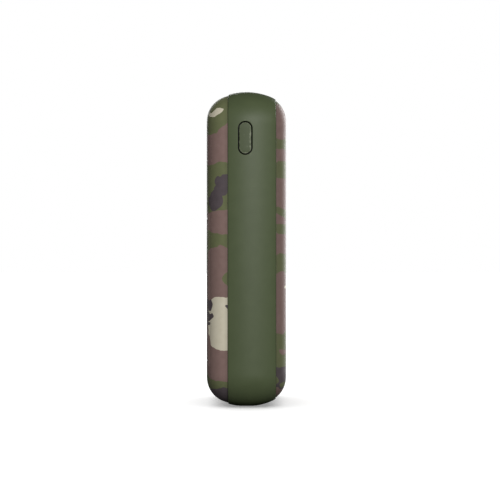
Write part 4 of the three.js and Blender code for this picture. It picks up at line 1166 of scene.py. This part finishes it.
finish(make_front_cover(), "front_cover")
finish(make_band(), "centre_band")
finish(make_back_cover(), "back_cover")
finish(make_battery_door(), "battery_door")
finish(make_screw("door_screw", "door_fastener", 0.9), "door_screw")
for group, count in (("case", 4), ("board", 2)):
    for number in range(1, count + 1):
        node = f"{group}_screw_{number}"
        finish(make_screw(node, f"{group}_fastener_{number}", 1.6), node)
talk = make_talk_button()
finish(talk, "talk_button")
# Painted shade: the flange and stem behind the cap take black rubber so that the slit round the cap looks
# dark.
talk.data.materials.append(finishes["rubber_black"])
slit_shade_from = (span("talk_button")[0].x + 1.2) * MM
for face in talk.data.polygons:
    if face.center.x > slit_shade_from:
        face.material_index = 1
finish(make_power_knob(), "power_knob")
finish(make_call_button(), "call_button")
finish(make_light_pipe(), "light_pipe")
finish(make_cloth(), "grille_cloth")
for number in (1, 2, 3):
    finish(make_cell(number), f"battery_{number}")
    finish(make_spring(number), f"battery_spring_{number}")
for node in ("contact_minus", "contact_bridge_1", "contact_bridge_2", "contact_plus"):
    finish(make_contact(node, node + "_plate"), node)

for node, thing in frame["nodes"].items():
    if not thing.hide_render:
        thing.data.materials.clear()
        thing.data.materials.append(finishes[node_slots[node]])

# ---- floor, light and camera ----


def set_inputs(node, values):
    for name, value in values.items():
        node.inputs[name].default_value = value


def show_to_camera(tree, hidden, seen, output):
    """The camera gets what seen gives, and every other ray what hidden gives."""
    rays = tree.nodes.new("ShaderNodeLightPath")
    choose = tree.nodes.new("ShaderNodeMixShader")
    tree.links.new(rays.outputs["Is Camera Ray"], choose.inputs[0])
    tree.links.new(hidden.outputs[0], choose.inputs[1])
    tree.links.new(seen.outputs[0], choose.inputs[2])
    tree.links.new(choose.outputs[0], tree.nodes[output].inputs["Surface"])


def make_floor():
    """A pale floor. It is darker to the light that bounces off it, as a small table would be."""
    size = 3.0
    corners = [(-size, -size, 0), (size, -size, 0), (size, size, 0), (-size, size, 0)]
    mesh = bpy.data.meshes.new("floor")
    mesh.from_pydata(corners, [], [(0, 1, 2, 3)])
    floor = place_in_scene("floor", mesh)
    material = bpy.data.materials.new("pale_floor")
    material.use_nodes = True
    tree = material.node_tree
    pale = tree.nodes["Principled BSDF"]
    set_inputs(pale, {"Base Color": (0.85, 0.85, 0.85, 1), "Roughness": 0.9, "Specular IOR Level": 0.1})
    set_inputs(pale, {"Emission Color": (1, 1, 1, 1), "Emission Strength": 0.3})
    dark = tree.nodes.new("ShaderNodeBsdfDiffuse")
    set_inputs(dark, {"Color": (0.12, 0.12, 0.12, 1)})
    show_to_camera(tree, dark, pale, "Material Output")
    mesh.materials.append(material)
    return floor


def make_world():
    """A white background to the camera, and a dim one to the light."""
    world = bpy.data.worlds.new("studio")
    bpy.context.scene.world = world
    world.use_nodes = True
    tree = world.node_tree
    dim = tree.nodes["Background"]
    set_inputs(dim, {"Color": (1, 1, 1, 1), "Strength": 0.08})
    bright = tree.nodes.new("ShaderNodeBackground")
    set_inputs(bright, {"Color": (1, 1, 1, 1), "Strength": 1.0})
    show_to_camera(tree, dim, bright, "World Output")


def hang(data, place, target):
    """Puts a light at a place, turned towards target."""
    light = place_in_scene(data.name, data)
    light.location = place
    light.rotation_euler = (Vector(target) - Vector(place)).to_track_quat("-Z", "Y").to_euler()
    return light


def make_light(name, place, width, height, power):
    data = bpy.data.lights.new(name, "AREA")
    data.shape = "RECTANGLE"
    data.size = width
    data.size_y = height
    data.energy = power
    return hang(data, place, MIDDLE)


def make_sky_light():
    """A wide light from above, for the floor."""
    data = bpy.data.lights.new("sky", "SUN")
    data.energy = 3.7
    data.angle = radians(110)
    return hang(data, (0, 0, 1), (-0.25, -0.05, 0))


def link_floor(light, floor, state):
    """Includes only the floor in what a light falls on, or excludes it."""
    lit = bpy.data.collections.new(light.name + "_floor")
    lit.objects.link(floor)
    light.light_linking.receiver_collection = lit
    lit.collection_objects[0].light_linking.link_state = state


def make_camera():
    data = bpy.data.cameras.new("camera")
    data.lens = 100
    data.sensor_width = 36
    camera = place_in_scene("camera", data)
    camera.location = (-0.547, -0.00138, 0.0595)
    camera.rotation_euler = (pi / 2, 0, -pi / 2)
    bpy.context.scene.camera = camera


MIDDLE = (0, 0, 0.06)
floor = make_floor()
make_world()
lights = [
    make_light("key", (-0.66, -0.13, 0.27), 0.3, 0.3, 2.75),
    make_light("sheen", (-0.54, -0.26, 0.44), 0.14, 0.3, 0.6),
    make_light("rim", (0.5, -0.34, 0.16), 0.25, 0.5, 3.9),
    make_light("back", (0.66, 0.17, 0.2), 0.3, 0.5, 2.8),
]
for light in lights:
    link_floor(light, floor, "EXCLUDE")
link_floor(make_sky_light(), floor, "INCLUDE")
make_camera()
bpy.context.scene.view_settings.view_transform = "Standard"
